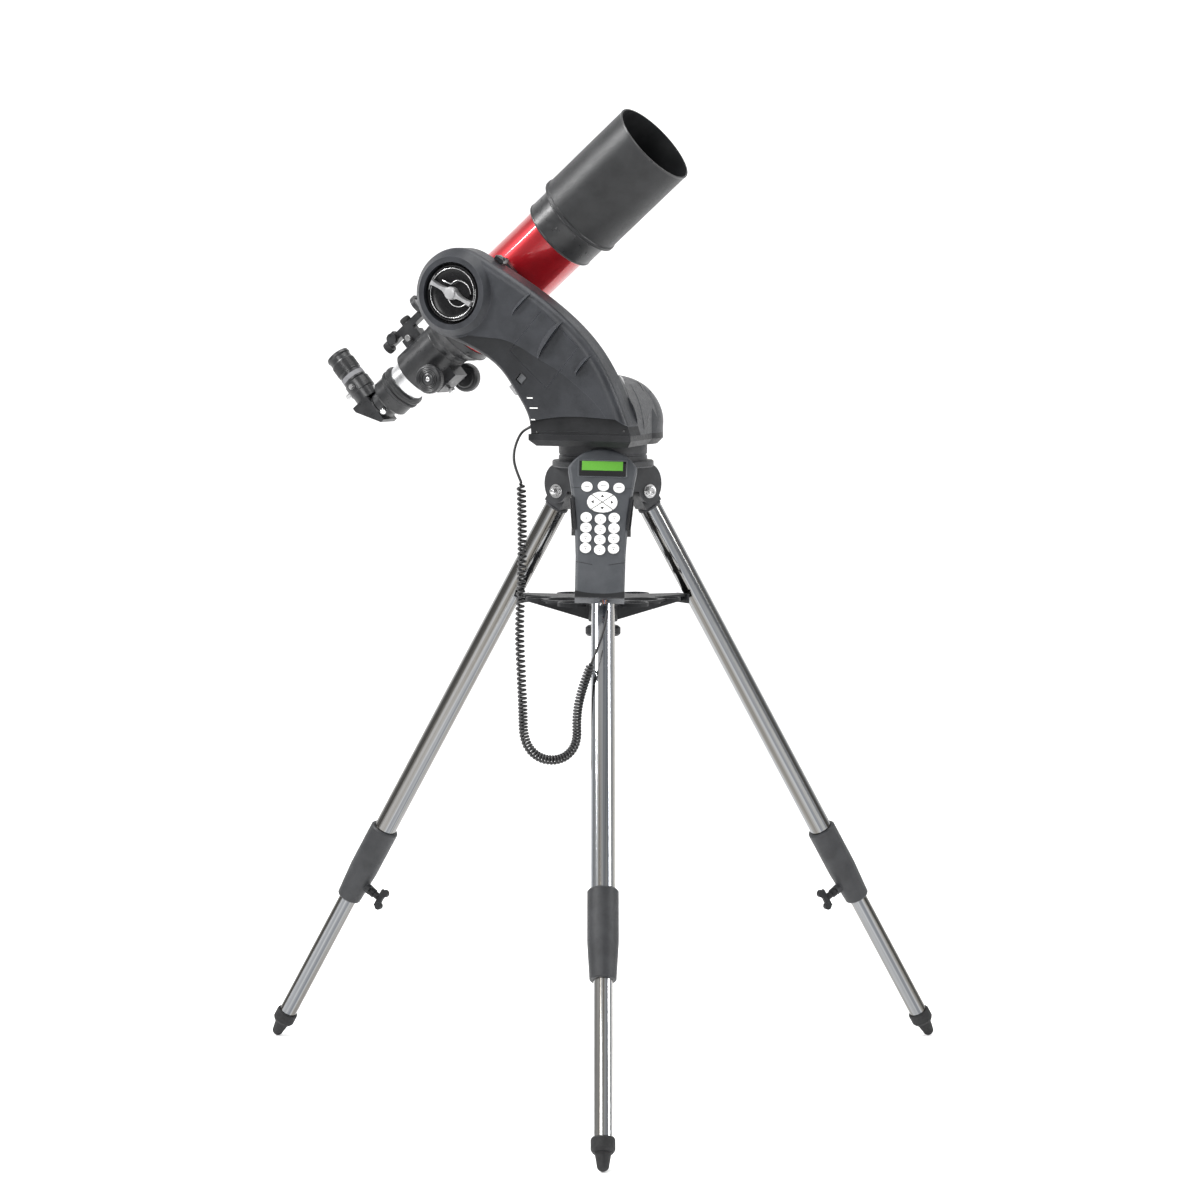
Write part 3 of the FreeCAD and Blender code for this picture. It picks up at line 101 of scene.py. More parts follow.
class Shade:
    """A node material whose colour, gloss and relief vary over the surface."""

    def __init__(self, name, rough=0.5, metal=0.0, coat=0.0, coat_rough=0.05, specular=0.5):
        self.mat = bpy.data.materials.new(name)
        self.mat.use_nodes = True
        self.nodes = self.mat.node_tree.nodes
        self.links = self.mat.node_tree.links
        self.bsdf = self.nodes["Principled BSDF"]
        self.bsdf.inputs["Roughness"].default_value = rough
        self.bsdf.inputs["Metallic"].default_value = metal
        self.bsdf.inputs["Coat Weight"].default_value = coat
        self.bsdf.inputs["Coat Roughness"].default_value = coat_rough
        self.bsdf.inputs["Specular IOR Level"].default_value = specular
        self.place = self.nodes.new("ShaderNodeTexCoord").outputs["Object"]
        self.normal = None

    def node(self, kind, **values):
        made = self.nodes.new(kind)
        for key, value in values.items():
            if key in made.inputs:
                made.inputs[key].default_value = value
            else:
                setattr(made, key, value)
        return made

    def stretched(self, scale, turns):
        """Object coordinates after a row of Euler turns, then scaled, for grain and painted reflections that
        run one way.
        """
        for euler in turns:
            self.place = self.link_mapping([math.radians(v) for v in euler], (1, 1, 1))
        self.place = self.link_mapping((0, 0, 0), scale)
        return self

    def link_mapping(self, rotation, scale):
        mapping = self.node("ShaderNodeMapping")
        mapping.inputs["Rotation"].default_value = rotation
        mapping.inputs["Scale"].default_value = scale
        self.links.new(self.place, mapping.inputs["Vector"])
        return mapping.outputs["Vector"]

    def noise(self, scale, detail=3.0):
        made = self.node("ShaderNodeTexNoise", Scale=scale, Detail=detail)
        self.links.new(self.place, made.inputs["Vector"])
        return made.outputs["Fac"]

    def cells(self, scale):
        made = self.node("ShaderNodeTexVoronoi", Scale=scale)
        self.links.new(self.place, made.inputs["Vector"])
        return made.outputs["Distance"]

    def ramp(self, value, stops):
        made = self.node("ShaderNodeValToRGB")
        first, last = made.color_ramp.elements
        first.position, first.color = stops[0][0], (*stops[0][1], 1)
        last.position, last.color = stops[-1][0], (*stops[-1][1], 1)
        for position, colour in stops[1:-1]:
            made.color_ramp.elements.new(position).color = (*colour, 1)
        self.links.new(value, made.inputs["Fac"])
        return made.outputs["Color"]

    def colour(self, value, dark, light, low=0.35, high=0.65):
        self.links.new(self.ramp(value, [(low, dark), (high, light)]), self.bsdf.inputs["Base Color"])
        return self

    def gloss(self, value, low, high):
        self.links.new(self.spread(value, 0.3, 0.7, low, high), self.bsdf.inputs["Roughness"])
        return self

    def relief(self, value, distance, strength=1.0):
        made = self.node("ShaderNodeBump", Strength=strength, Distance=distance)
        self.links.new(value, made.inputs["Height"])
        if self.normal is not None:
            self.links.new(self.normal, made.inputs["Normal"])
        self.normal = made.outputs["Normal"]
        self.links.new(self.normal, self.bsdf.inputs["Normal"])
        return self

    def shaded_below(self, place_frame, line, shade, depth, keep_out):
        """Paints shade on the face under a curved line of (x, z) points in a frame, fading with distance.

        Nothing is darkened inside keep_out, a circle given by x, z and radius.
        """
        start, end = line[0][0], line[-1][0]
        low = min(z for x, z in line)
        height = max(z for x, z in line) - low
        place = self.node("ShaderNodeMapping")
        where, spin, _ = place_frame.inverted().decompose()
        place.inputs["Location"].default_value = where / 1000
        place.inputs["Rotation"].default_value = spin.to_euler()
        self.links.new(self.nodes["Texture Coordinate"].outputs["Object"], place.inputs["Vector"])
        split = self.node("ShaderNodeSeparateXYZ")
        self.links.new(place.outputs["Vector"], split.inputs["Vector"])
        across = self.spread(split.outputs["X"], start / 1000, end / 1000, 0, 1)
        curve = self.node("ShaderNodeFloatCurve")
        points = curve.mapping.curves[0].points
        for x, z in line[1:-1]:
            points.new((x - start) / (end - start), (z - low) / height)
        points[0].location = (0, (line[0][1] - low) / height)
        points[-1].location = (1, (line[-1][1] - low) / height)
        curve.mapping.update()
        self.links.new(across, curve.inputs["Value"])
        edge = self.spread(curve.outputs["Value"], 0, 1, low / 1000, (low + height) / 1000)
        under = self.combined("SUBTRACT", edge, split.outputs["Z"])
        strong = self.spread(under, SHADE_EDGE[0], SHADE_EDGE[1], 0, 1)
        fading = self.spread(under, 0, depth / 1000, 1, SHADE_LEFT)
        along = self.spread(split.outputs["X"], SHADE_ENDS[0], SHADE_ENDS[1], 1, 0.0)
        amount = self.combined("MULTIPLY", self.combined("MULTIPLY", strong, fading), along)
        x, z, radius = keep_out
        away = self.node("ShaderNodeVectorMath", operation="DISTANCE")
        flat = self.node("ShaderNodeCombineXYZ")
        self.links.new(split.outputs["X"], flat.inputs["X"])
        self.links.new(split.outputs["Z"], flat.inputs["Z"])
        self.links.new(flat.outputs["Vector"], away.inputs[0])
        away.inputs[1].default_value = (x / 1000, 0, z / 1000)
        outside = self.spread(away.outputs["Value"], radius / 1000, radius / 1000 + 0.001, 0, 1)
        amount = self.combined("MULTIPLY", amount, outside)
        return self.mixed_in(amount, (shade, shade, shade), "MULTIPLY")

    def spread(self, value, low, high, to_low, to_high):
        """Maps one range of values onto another."""
        made = self.node("ShaderNodeMapRange")
        for name, number in (("From Min", low), ("From Max", high), ("To Min", to_low), ("To Max", to_high)):
            made.inputs[name].default_value = number
        self.links.new(value, made.inputs["Value"])
        return made.outputs["Result"]

    def combined(self, operation, first, second):
        made = self.node("ShaderNodeMath", operation=operation)
        self.links.new(first, made.inputs[0])
        self.links.new(second, made.inputs[1])
        return made.outputs["Value"]

    def painted_edge_highlight(self, amount, colour):
        """Painted highlight: a lighter colour along sharp edges, where they would catch the light."""
        bevel = self.node("ShaderNodeBevel", samples=4, Radius=0.0009)
        flat = self.node("ShaderNodeNewGeometry")
        dot = self.node("ShaderNodeVectorMath", operation="DOT_PRODUCT")
        self.links.new(bevel.outputs["Normal"], dot.inputs[0])
        self.links.new(flat.outputs["Normal"], dot.inputs[1])
        return self.mixed_in(self.spread(dot.outputs["Value"], 0.995, 0.86, 0, amount), colour)

    def mixed_in(self, amount, colour, blend="MIX"):
        """Mixes a colour into the base colour made so far."""
        mix = self.node("ShaderNodeMix", data_type="RGBA", blend_type=blend)
        base = self.bsdf.inputs["Base Color"]
        self.links.new(amount, mix.inputs["Factor"])
        self.links.new(base.links[0].from_socket, mix.inputs[6])
        mix.inputs[7].default_value = (*colour, 1)
        self.links.new(mix.outputs[2], base)
        return self


def grained(name, dark, light, rough, grain, depth, specular=0.5, edge_highlight_amount=0.0, painted_crease_shade=None):
    """Moulded plastic or powder coat: pebbled grain, faint mottling, a painted highlight along sharp edges
    and, where asked, painted shade under a crease.
    """
    made = Shade(name, specular=specular)
    made.colour(made.noise(38, 4), dark, light)
    made.gloss(made.noise(260, 2), *rough)
    made.relief(made.cells(grain), depth, 0.55)
    made.relief(made.noise(grain * 1.9, 2), depth * 0.6, 0.5)
    # Painted highlight along sharp edges, in a much lighter copy of the colour.
    if edge_highlight_amount:
        made.painted_edge_highlight(edge_highlight_amount, tuple(min(1.0, 4.5 * value) for value in light))
    # Painted shade under a crease, where one is given.
    if painted_crease_shade:
        made.shaded_below(*painted_crease_shade)
    return made.mat


def satin(name, dark, light, rough, metal=0.0, specular=0.5, coat=0.0, grain=900, depth=0.00002):
    """Smooth painted or plain metal with faint streaks and handling marks."""
    made = Shade(name, metal=metal, specular=specular, coat=coat)
    made.colour(made.noise(55, 5), dark, light)
    made.gloss(made.noise(120, 3), *rough)
    made.relief(made.noise(grain, 2), depth, 0.4)
    return made.mat


def drawn_tube(name, tilt, heading, painted_light_level):
    """Polished stainless tube: painted reflections, light, dark and warm, streaked along its length, over
    fine bumped lines.
    """
    made = Shade(name, metal=1.0, coat=0.25, coat_rough=0.12)
    made.stretched((190, 190, 0.9), ((0, 0, heading), (0, tilt, 0)))
    # Painted reflections: light, dark and warm streaks along the tube.
    reflection_bands = ((0.30, (0.085, 0.078, 0.066)), (0.43, (0.30, 0.285, 0.26)), (0.52, (0.52, 0.53, 0.54)),
             (0.62, (0.22, 0.235, 0.26)), (0.72, (0.46, 0.455, 0.44)))
    reflection_colours = made.ramp(made.noise(0.5, 3), [(at, tuple(painted_light_level * v for v in rgb)) for at, rgb in reflection_bands])
    made.links.new(reflection_colours, made.bsdf.inputs["Base Color"])
    made.gloss(made.noise(0.6, 2), 0.12, 0.19)
    made.relief(made.noise(3.0, 2), 0.000004, 0.4)
    return made.mat


# The arm's crease in the head's frame, and the circle round the clutch that its painted shade leaves out.
CREASE = ((-150, 1036), (-105.5, 1032), (-87, 1030), (-58.7, 1019.3), (-32.7, 1004.7), (-1.4, 988.2),
          (24.4, 969.3), (51.9, 946.7), (72, 922))
CLUTCH_RIM = (PIVOT_X, PIVOT_Z, 60.5)
MAT = {
    "plastic": grained("charcoal_plastic", (0.018, 0.0195, 0.022), (0.028, 0.030, 0.034),
                       (0.36, 0.47), 1500, 0.00016, 0.34, 0.35),
    "rocker": grained("rocker_plastic", (0.075, 0.078, 0.083), (0.105, 0.108, 0.115),
                      (0.38, 0.49), 1700, 0.00008, 0.5, 0.2),
    # The arm's plastic carries painted shade under its crease.
    "arm": grained("arm_plastic", (0.019, 0.0205, 0.024), (0.030, 0.032, 0.037),
                   (0.34, 0.44), 1500, 0.00016, 0.34, 0.35, (HEAD, CREASE, 0.30, 90, CLUTCH_RIM)),
    "fascia": grained("black_plastic", (0.010, 0.0105, 0.0115), (0.018, 0.0185, 0.020),
                      (0.40, 0.52), 1700, 0.00010, 0.22, 0.30),
    "cast": grained("cast_coat", (0.018, 0.019, 0.021), (0.030, 0.031, 0.034),
                    (0.42, 0.56), 1250, 0.00020, 0.42, 0.35),
    "pad": grained("controller_plastic", (0.034, 0.038, 0.044), (0.052, 0.056, 0.063),
                   (0.45, 0.58), 1900, 0.00012, 0.5, 0.3),
    "shield": grained("shield_coat", (0.012, 0.0125, 0.0135), (0.020, 0.0205, 0.022),
                      (0.36, 0.46), 2600, 0.00007, 0.36),
    "satin_black": satin("satin_black", (0.014, 0.0145, 0.0155), (0.024, 0.0245, 0.026), (0.26, 0.36)),
    "gloss_black": satin("gloss_black", (0.006, 0.006, 0.0065), (0.011, 0.011, 0.012), (0.10, 0.17),
                         coat=0.6),
    "dish": satin("dish_black", (0.004, 0.004, 0.0045), (0.008, 0.008, 0.009), (0.20, 0.30), specular=0.25),
    "rubber": grained("rubber", (0.010, 0.010, 0.0105), (0.018, 0.018, 0.019), (0.55, 0.72), 900,
                      0.00014, 0.35),
    "steel": satin("zinc_steel", (0.50, 0.50, 0.50), (0.74, 0.74, 0.745), (0.16, 0.30), metal=1.0),
    "silver": satin("silver_anodised", (0.62, 0.625, 0.635), (0.78, 0.785, 0.795), (0.24, 0.34),
                    metal=1.0, grain=1800),
    "motor": satin("motor_can", (0.42, 0.42, 0.43), (0.58, 0.58, 0.60), (0.28, 0.42), metal=1.0),
    "grip": satin("grip_satin", (0.27, 0.27, 0.275), (0.38, 0.38, 0.385), (0.32, 0.44), metal=0.3),
    "cell": satin("battery_wrap", (0.02, 0.10, 0.045), (0.035, 0.16, 0.07), (0.22, 0.35)),
    "key": satin("key_rubber", (0.80, 0.80, 0.785), (0.88, 0.88, 0.87), (0.38, 0.52)),
    "mark": satin("key_print", (0.16, 0.16, 0.17), (0.24, 0.24, 0.25), (0.5, 0.6)),
    "cord": satin("cord_jacket", (0.010, 0.010, 0.0105), (0.018, 0.018, 0.019), (0.30, 0.42),
                  grain=1400, depth=0.00004),
}


def red_paint():
    """Deep metallic red with fine flake under a clear coat."""
    made = Shade("tube_red", metal=0.55, coat=1.0, coat_rough=0.03)
    made.colour(made.noise(9, 3), (0.34, 0.004, 0.010), (0.46, 0.008, 0.016))
    made.gloss(made.cells(5200), 0.24, 0.36)
    made.relief(made.cells(5200), 0.00001, 0.25)
    return made.mat


def clear(name, tint, rough):
    made = Shade(name, rough=rough, coat=0.5)
    made.bsdf.inputs["Transmission Weight"].default_value = 1.0
    made.bsdf.inputs["IOR"].default_value = 1.49
    made.colour(made.noise(70, 2), tuple(0.92 * value for value in tint), tint)
    made.relief(made.noise(400, 2), 0.00001, 0.3)
    return made.mat


def coated_lens():
    """Dark glass with a green and violet coating."""
    made = Shade("lens_glass", coat=1.0, coat_rough=0.02, specular=0.8)
    made.colour(made.noise(14, 2), (0.004, 0.012, 0.012), (0.010, 0.008, 0.022))
    made.gloss(made.noise(60, 2), 0.03, 0.06)
    made.relief(made.noise(30, 1), 0.00002, 0.2)
    return made.mat


def lcd_glow():
    """Backlit display: yellow-green with rows of faint dots."""
    made = Shade("lcd", rough=0.35, coat=0.4)
    made.colour(made.cells(1500), (0.075, 0.27, 0.022), (0.105, 0.34, 0.032), 0.2, 0.6)
    made.bsdf.inputs["Emission Strength"].default_value = 0.12
    made.bsdf.inputs["Emission Color"].default_value = (0.10, 0.42, 0.03, 1)
    made.relief(made.cells(1500), 0.00002, 0.3)
    return made.mat


MAT["red"] = red_paint()
MAT["clear"] = clear("clear_plastic", (0.93, 0.94, 0.93), 0.08)
MAT["smoke"] = satin("window_smoke", (0.004, 0.004, 0.0045), (0.007, 0.007, 0.008), (0.05, 0.09), coat=1.0)
MAT["lens"] = coated_lens()
MAT["lcd"] = lcd_glow()
for wire_name, wire_rgb in (("orange", (0.75, 0.22, 0.03)), ("blue", (0.05, 0.12, 0.55)),
                            ("white", (0.8, 0.8, 0.78))):
    MAT["wire_" + wire_name] = satin("wire_" + wire_name, tuple(0.85 * v for v in wire_rgb), wire_rgb,
                                     (0.35, 0.5))

# ---------------------------------------------------------------- finish of the CAD nodes

FINISH = {
    "arm": ["arm_front_cover", "battery_door"],
    "plastic": ["arm_inner_shell", "base_housing"],
    "rocker": ["power_switch"],
    "fascia": ["base_fascia", "base_rim", "accessory_tray", "tray_knob", "controller_holder",
               "clamp_screw_front", "clamp_screw_left", "clamp_screw_right"],
    "cast": ["tripod_hub", "azimuth_base", "leg_top_front", "leg_top_left", "leg_top_right",
             "sleeve_front", "sleeve_left", "sleeve_right"],
    "pad": ["controller_back", "controller_front"],
    "shield": ["dew_shield"],
    "satin_black": ["lens_cell", "focuser_body", "eyepiece_holder", "diagonal", "eyepiece", "finder",
                    "saddle", "dovetail_bar", "focus_knobs"],
    "gloss_black": ["clutch_knob"],
    "rubber": ["foot_front", "foot_left", "foot_right"],
    "steel": ["tripod_hardware", "saddle_screw", "altitude_gear"],
    "silver": ["drawtube"],
    "motor": ["azimuth_motor", "altitude_motor", "azimuth_gear"],
    "cell": ["battery_pack"],
    "red": ["main_tube"],
    "lens": ["objective_lens"],
    "smoke": ["display_window"],
    "key": ["keypad_keys", "arrow_keys"],
    "clear": ["cord_plug"],
    "cord": ["cord_lead_upper", "cord_coil", "cord_lead_lower"],
}


def dress(node, material):
    """Gives a carried-over node its finish."""
    for slot in NODES[node].material_slots:
        slot.link = "OBJECT"
        slot.material = material


for finish, members in FINISH.items():
    for member in members:
        dress(member, MAT[finish])
for side, degrees in LEGS.items():
    # Painted light: the front leg's steel is made lighter and the side legs' steel darker.
    painted_light_level = 1.35 if side == "front" else 0.55
    steel = drawn_tube(f"leg_steel_{side}", LEG_LEAN, -degrees, painted_light_level)
    for part_name in ("upper_tube_", "lower_tube_"):
        dress(part_name + side, steel)

# ---------------------------------------------------------------- mesh tools


class Build:
    """Collects geometry, in millimetres, in one or more local frames."""

    def __init__(self):
        self.bm = bmesh.new()

    def add(self, points, faces, place):
        verts = [self.bm.verts.new(place @ Vector(p) / 1000) for p in points]
        for face in faces:
            self.bm.faces.new([verts[i] for i in face])
        return self

    def lathe(self, profile, place, segments=72, ripple=0.0, ripples=0):
        """Spins (radius, height) points about the local Z axis; ripple makes a knurled rim."""
        rings = []
        for radius, height in profile:
            if radius < 1e-6:
                rings.append([(0, 0, height)])
                continue
            ring = []
            for k in range(segments):
                angle = 2 * math.pi * k / segments
                r = radius + (ripple * math.cos(ripples * angle) if ripples else 0)
                ring.append((r * math.cos(angle), r * math.sin(angle), height))
            rings.append(ring)
        points, starts = [], []
        for ring in rings:
            starts.append(len(points))
            points += ring
        faces = []
        for i in range(len(rings) - 1):
            a, b = rings[i], rings[i + 1]
            sa, sb = starts[i], starts[i + 1]
            for k in range(segments):
                n = (k + 1) % segments
                if len(a) > 1 and len(b) > 1:
                    faces.append((sa + k, sa + n, sb + n, sb + k))
                elif len(a) > 1:
                    faces.append((sa + k, sa + n, sb))
                elif len(b) > 1:
                    faces.append((sa, sb + n, sb + k))
        return self.add(points, faces, place)

    def rod(self, line, radius, place, sides=12, flat=1.0):
        """Round bead along points; radius may be one value or one per point; flat squeezes its height."""
        line = [Vector(p) for p in line]
        radii = radius if isinstance(radius, (list, tuple)) else [radius] * len(line)
        points, faces = [], []
        up = Vector((0, 0, 1))
        for i, p in enumerate(line):
            along = (line[min(i + 1, len(line) - 1)] - line[max(i - 1, 0)]).normalized()
            across = along.cross(up)
            if across.length < 1e-3:
                across = along.cross(Vector((1, 0, 0)))
            across.normalize()
            over = across.cross(along).normalized()
            for k in range(sides):
                angle = 2 * math.pi * k / sides
                points.append(p + across * (radii[i] * math.cos(angle))
                              + over * (radii[i] * flat * math.sin(angle)))
        for i in range(len(line) - 1):
            for k in range(sides):
                n = (k + 1) % sides
                a, b = i * sides, (i + 1) * sides
                faces.append((a + k, a + n, b + n, b + k))
        faces.append(tuple(range(sides))[::-1])
        faces.append(tuple((len(line) - 1) * sides + k for k in range(sides)))
        return self.add(points, faces, place)

    def slab(self, outline, low, high, place, taper=0.0):
        """Prism over an outline in local XY from low to high, its top drawn in by a taper."""
        centre = sum((Vector(p) for p in outline), Vector((0, 0))) / len(outline)
        points = [(x, y, low) for x, y in outline]
        edge = high - min(abs(taper), abs(high - low) * 0.5) * (1 if high > low else -1)
        points += [(x, y, edge) for x, y in outline]
        for x, y in outline:
            inward = centre - Vector((x, y))
            inward = inward.normalized() * min(taper, inward.length * 0.4)
            points.append((x + inward.x, y + inward.y, high))
        n = len(outline)
        faces = [tuple(range(n))[::-1], tuple(range(2 * n, 3 * n))]
        for level in range(2):
            for k in range(n):
                a, b = level * n, (level + 1) * n
                faces.append((a + k, a + (k + 1) % n, b + (k + 1) % n, b + k))
        return self.add(points, faces, place)

    def done(self, name, material, body, slot, sharp=38, bevel=0.0):
        bmesh.ops.recalc_face_normals(self.bm, faces=self.bm.faces)
        mesh = bpy.data.meshes.new(name)
        self.bm.to_mesh(mesh)
        self.bm.free()
        mesh.shade_smooth()
        mesh.set_sharp_from_angle(angle=math.radians(sharp))
        mesh.materials.append(material)
        piece = bpy.data.objects.new(name, mesh)
        bpy.context.scene.collection.objects.link(piece)
        if bevel:
            rounding = piece.modifiers.new("Rounding", "BEVEL")
            rounding.width = bevel / 1000
            rounding.segments = 3
            rounding.limit_method = "ANGLE"
            rounding.angle_limit = math.radians(35)
        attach(piece, body)
        return piece


def arc(radius, start, end, height, count=40, centre=(0, 0)):
    """Points on an arc in local XY, angles in degrees."""
    made = []
    for k in range(count + 1):
        angle = math.radians(start + (end - start) * k / count)
        made.append((centre[0] + radius * math.cos(angle), centre[1] + radius * math.sin(angle), height))
    return made


def smooth_outline(points, count):
    """Smooth outline in local XY through a short list of points."""
    return [(p.x, p.y) for p in smooth([(x, y, 0) for x, y in points], count)]


def smooth(points, count=12):
    """Catmull-Rom points through a short list of 3D points."""
    points = [Vector(p) for p in points]
    padded = [2 * points[0] - points[1], *points, 2 * points[-1] - points[-2]]
    made = []
    for a, b, c, d in zip(padded, padded[1:], padded[2:], padded[3:]):
        for k in range(count):
            t = k / count
            made.append(0.5 * (2 * b + (c - a) * t + (2 * a - 5 * b + 4 * c - d) * t ** 2
                               + (3 * b - a - 3 * c + d) * t ** 3))
    made.append(points[-1])
    return made


def rectangle(half_x, half_y, x=0.0, y=0.0, degrees=0.0, corner=0.0):
    """Outline of a rectangle, with rounded corners if asked."""
    made = []
    for sx, sy, start in ((1, 1, 0), (-1, 1, 90), (-1, -1, 180), (1, -1, 270)):
        if corner:
            for k in range(5):
                angle = math.radians(start + 22.5 * k)
                made.append((sx * (half_x - corner) + corner * math.cos(angle),
                             sy * (half_y - corner) + corner * math.sin(angle)))
        else:
            made.append((sx * half_x, sy * half_y))
    c, s = math.cos(math.radians(degrees)), math.sin(math.radians(degrees))
    return [(x + c * u - s * v, y + s * u + c * v) for u, v in made]


# ---------------------------------------------------------------- cord

UPPER_LEAD = ((-92.6, -74.6, 912.9), (-107.5, -68, 908.5), (-117.4, -80, 892.2), (-121.9, -92, 872),
              (-118.0, -100, 853.8), (-110.8, -104, 837.8))
COIL = ((-110.8, -104, 837.8), (-109.3, -111, 790), (-108.8, -122, 738), (-111.2, -134, 684),
        (-112.6, -144, 634), (-110, -156, 585), (-107.5, -168, 540), (-106.5, -179, 493),
        (-85.3, -190, 471), (-54.7, -201, 471), (-34, -208, 493), (-35.5, -214, 531),
        (-29, -218, 567), (-14.5, -218, 604.9))
LOWER_LEAD = ((-14.5, -218, 604.9), (-5.3, -214, 627.2), (2.6, -207.5, 650), (6.2, -200.5, 672.0))
# The wire's diameter, the helix's radius and its pitch where it hangs open and where it rests, in metres.
WIRE = 0.0036
COIL_R = 0.0049
LOOSE_PITCH = 0.0068
TIGHT_PITCH = 0.0042
# How finely the route is followed, the length over which the helix opens, and its points per turn.
STEP = 0.0004
RAMP_IN = 0.009
POINTS_A_TURN = 14
# The coil closes up below this height over its lowest point, and past this x, where it climbs again.
SAG_TOP, SAG_FADE = 0.115, 0.06
CLIMB_X = -0.060


def route_line(points):
    """Points along the smooth line of a route, in metres."""
    curve = bpy.data.curves.new("route", "CURVE")
    curve.dimensions = "3D"
    spline = curve.splines.new("NURBS")
    spline.points.add(len(points) - 1)
    for target, (x, y, z) in zip(spline.points, points):
        target.co = (x / 1000, (y + AXIS_Y) / 1000, z / 1000, 1)
    spline.order_u = 3
    spline.use_endpoint_u = True
    spline.resolution_u = 24
    carrier = bpy.data.objects.new("route", curve)
    mesh = bpy.data.meshes.new_from_object(carrier)
    line = [v.co.copy() for v in mesh.vertices]
    bpy.data.meshes.remove(mesh)
    bpy.data.objects.remove(carrier)
    bpy.data.curves.remove(curve)
    return line


def evenly(line, step):
    """The line again, with points a step apart."""
    made, carry = [line[0]], 0.0
    for a, b in zip(line, line[1:]):
        length = (b - a).length
        at = step - carry
        while at <= length:
            made.append(a.lerp(b, at / length))
            at += step
        carry = length - (at - step)
    return made


def curly_cord():
    """One wire: a plain lead, a long helix that is pulled open where it hangs, and a plain lead."""
    whole, kinds = [], []
    for points, kind in ((UPPER_LEAD, 0), (COIL, 1), (LOWER_LEAD, 0)):
        part_line = evenly(route_line(points), STEP)
        whole += part_line
        kinds += [kind] * len(part_line)
    coil_start, coil_end = kinds.index(1), len(kinds) - 1 - kinds[::-1].index(1)
    across = (whole[1] - whole[0]).orthogonal().normalized()
    lowest = min(p.z for p in whole)
    made, angle, turned = [], 0.0, 0.0
    for i in range(1, len(whole) - 1):
        along = (whole[i + 1] - whole[i - 1])
        if along.length < 1e-9:
            continue
        along.normalize()
        across = (across - along * across.dot(along)).normalized()
        if not coil_start <= i <= coil_end:
            if i % 12 == 0 or i == 1:
                made.append(whole[i])
            continue
        rise = min(1.0, (i - coil_start) * STEP / RAMP_IN, (coil_end - i) * STEP / RAMP_IN)
        rise = rise * rise * (3 - 2 * rise)
        low = max(0.0, min(1.0, (SAG_TOP - (whole[i].z - lowest)) / SAG_FADE))
        past = 1.0 if whole[i].x > CLIMB_X else 0.0
        pitch = LOOSE_PITCH + (TIGHT_PITCH - LOOSE_PITCH) * max(0.85 * low, 0.95 * past)
        angle += 2 * math.pi * STEP / pitch
        turned += STEP / pitch
        if turned < 1 / POINTS_A_TURN:
            continue
        turned -= 1 / POINTS_A_TURN
        side = along.cross(across)
        wobble = 1 + 0.035 * math.sin(i * 0.0071) + 0.02 * math.sin(i * 0.0173)
        offset = across * math.cos(angle) + side * math.sin(angle)
        made.append(whole[i] + offset * (COIL_R * rise * wobble))
    made.insert(0, whole[0])
    made.append(whole[-1])
    curve = bpy.data.curves.new("curly_cord", "CURVE")
    curve.dimensions = "3D"
    spline = curve.splines.new("NURBS")
    spline.points.add(len(made) - 1)
    for target, p in zip(spline.points, made):
        target.co = (*p, 1)
    spline.order_u = 3
    spline.use_endpoint_u = True
    spline.resolution_u = 2
    curve.bevel_depth = WIRE / 2
    curve.bevel_resolution = 3
    curve.use_fill_caps = True
    curve.materials.append(MAT["cord"])
    cord = bpy.data.objects.new("curly_cord", curve)
    bpy.context.scene.collection.objects.link(cord)
    length = sum((b - a).length for a, b in zip(made, made[1:]))
    return cord, length, made


cord_piece, cord_length, cord_points = curly_cord()
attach(cord_piece, NODES["cord_coil"]["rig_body"])
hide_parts("cord_lead_upper", "cord_coil", "cord_lead_lower")


def strain_relief():
    """Small ribbed sleeve where the cord leaves the arm."""
    a, b = cord_points[0] * 1000, cord_points[2] * 1000
    along = (b - a).normalized()
    place = Matrix.Translation(a) @ along.to_track_quat("Z", "Y").to_matrix().to_4x4()
    profile = [(0, -2.5), (3.6, -2.5), (3.8, -1.2), (3.4, 0.2)]
    for k in range(5):
        z = 0.4 + 1.7 * k
        r = 3.3 - 0.28 * k
        profile += [(r, z), (r, z + 0.9), (r - 0.5, z + 1.1), (r - 0.5, z + 1.6)]
    profile += [(1.75, 9.6), (0, 9.6)]
    return Build().lathe(profile, place, 32).done("cord_relief", MAT["cord"], "head", "cord_black")


strain_relief()

# ---------------------------------------------------------------- altitude clutch


